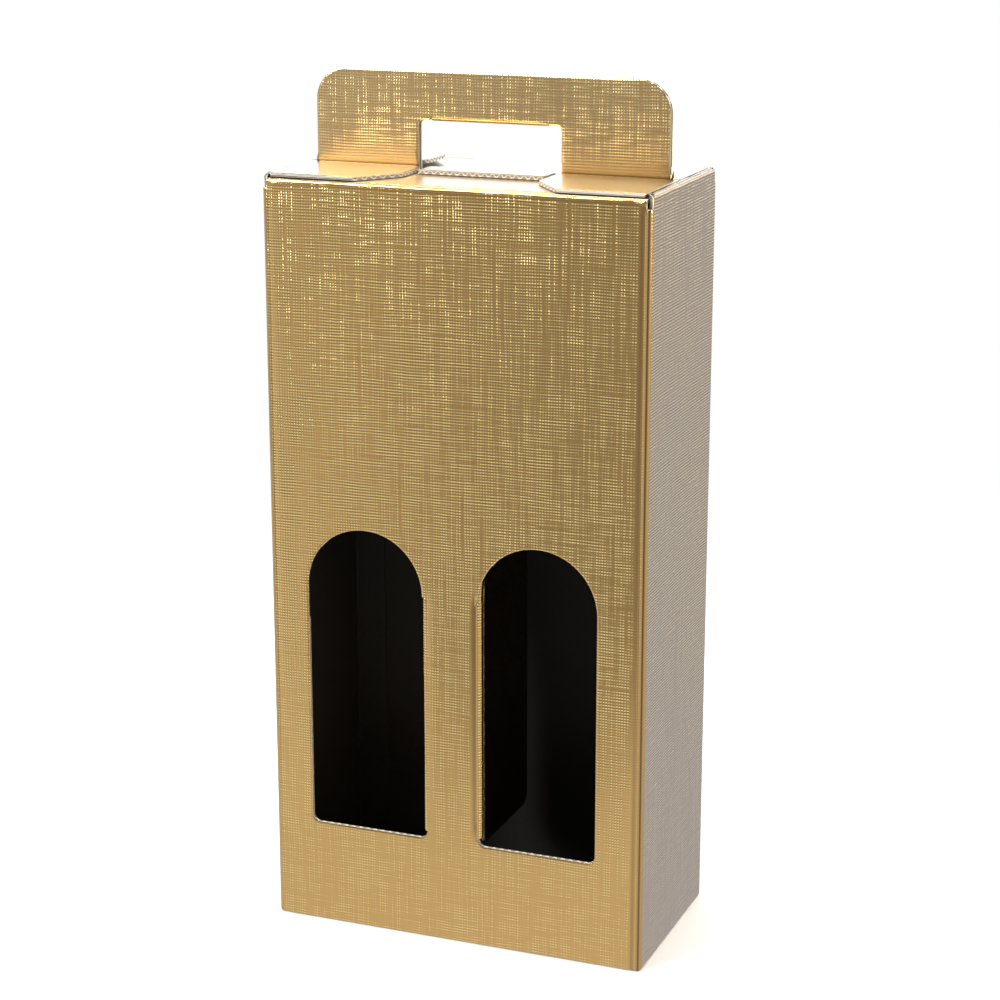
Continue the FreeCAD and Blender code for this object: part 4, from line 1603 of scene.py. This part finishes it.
def makeFloor():
    mesh = bpy.data.meshes.new("floor")
    size = stageLook["floorHalf"]
    mesh.from_pydata([(-size, -size, 0), (size, -size, 0), (size, size, 0), (-size, size, 0)],
                     [], [(0, 1, 2, 3)])
    floor = bpy.data.objects.new("floor", mesh)
    bpy.context.scene.collection.objects.link(floor)
    material, tree, output = newMaterial("paleStudioFloor")
    paper = addNode(tree, "ShaderNodeBsdfPrincipled", None, {
        "Base Color": linear(stageLook["paper"]), "Roughness": stageLook["paperRoughness"],
    })
    ray = addNode(tree, "ShaderNodeLightPath")
    where = addNode(tree, "ShaderNodeNewGeometry")
    distance = addNode(tree, "ShaderNodeVectorMath", {"operation": "LENGTH"},
                       {0: where.outputs["Position"]})
    reach = distance.outputs["Value"]
    # The far floor is white to the camera. A mirror also finds it less lit towards one side.
    away = addNode(tree, "ShaderNodeVectorMath", {"operation": "NORMALIZE"},
                   {0: where.outputs["Position"]})
    aside = addNode(tree, "ShaderNodeVectorMath", {"operation": "DOT_PRODUCT"}, {
        0: away.outputs["Vector"], 1: Vector(stageLook["mirrorDark"]).normalized(),
    })
    dim = smoothStep(tree, aside.outputs["Value"], stageLook["mirrorFrom"],
                     stageLook["mirrorFull"])
    dim = calc(tree, "MULTIPLY", dim, calc(tree, "SUBTRACT", 1.0, ray.outputs["Is Camera Ray"]))
    dim = calc(tree, "MULTIPLY", dim, smoothStep(tree, reach, stageLook["mirrorNear"],
                                                 stageLook["mirrorFar"]))
    white = addNode(tree, "ShaderNodeEmission", None, {
        "Color": (1, 1, 1, 1),
        "Strength": calc(tree, "MULTIPLY_ADD", dim, stageLook["mirrorLevel"] - 1.0, 1.0),
    })
    seen = calc(tree, "MULTIPLY", ray.outputs["Is Camera Ray"],
                smoothStep(tree, reach, stageLook["floorNear"], stageLook["floorFar"]))
    mirror = calc(tree, "MAXIMUM", ray.outputs["Is Glossy Ray"],
                  ray.outputs["Is Transmission Ray"])
    mixed = addNode(tree, "ShaderNodeMixShader", None, {
        0: calc(tree, "MAXIMUM", seen, mirror), 1: paper.outputs[0], 2: white.outputs[0],
    })
    tree.links.new(mixed.outputs[0], output.inputs["Surface"])
    mesh.materials.append(material)


# A dim and even room, a little darker at its end in front of the carton. It gives the gold
# its brown tones, and the lamps do the lighting.

def makeWorld():
    world = bpy.data.worlds.new("studio")
    bpy.context.scene.world = world
    world.use_nodes = True
    tree = world.node_tree
    tree.nodes.clear()
    output = addNode(tree, "ShaderNodeOutputWorld")
    heading = addNode(tree, "ShaderNodeTexCoord")
    toDark = addNode(tree, "ShaderNodeVectorMath", {"operation": "DOT_PRODUCT"}, {
        0: heading.outputs["Generated"], 1: Vector(stageLook["darkEnd"]).normalized(),
    })
    dark = smoothStep(tree, toDark.outputs["Value"], stageLook["darkFrom"],
                      stageLook["darkFull"])
    level = calc(tree, "MULTIPLY_ADD", dark,
                 stageLook["darkLevel"] - stageLook["roomLevel"], stageLook["roomLevel"])
    soft = addNode(tree, "ShaderNodeBackground", None, {"Color": (1, 1, 1, 1),
                                                        "Strength": level})
    tree.links.new(soft.outputs[0], output.inputs["Surface"])


def addSoftbox(name, look):
    light = bpy.data.lights.new(name, "AREA")
    light.shape = "RECTANGLE"
    light.size, light.size_y = look["size"]
    light.energy = look["watts"]
    light.spread = math.radians(look["spread"])
    lamp = bpy.data.objects.new(name, light)
    lamp.location = look["at"]
    away = Vector(look["aim"]) - Vector(look["at"])
    lamp.rotation_euler = away.to_track_quat("-Z", "Y").to_euler()
    bpy.context.scene.collection.objects.link(lamp)


def makeCamera():
    camera = bpy.data.cameras.new("camera")
    camera.sensor_width = cameraLook["sensor"]
    camera.lens = cameraLook["lens"]
    seat = bpy.data.objects.new("camera", camera)
    seat.location = cameraLook["at"]
    seat.rotation_euler = Vector(cameraLook["forward"]).to_track_quat("-Z", "Y").to_euler()
    bpy.context.scene.collection.objects.link(seat)
    bpy.context.scene.camera = seat


makeFloor()
makeWorld()
for lampName, lamp in lampLook.items():
    addSoftbox(lampName, lamp)
makeCamera()
bpy.context.scene.view_settings.view_transform = "Standard"
print("studio made")
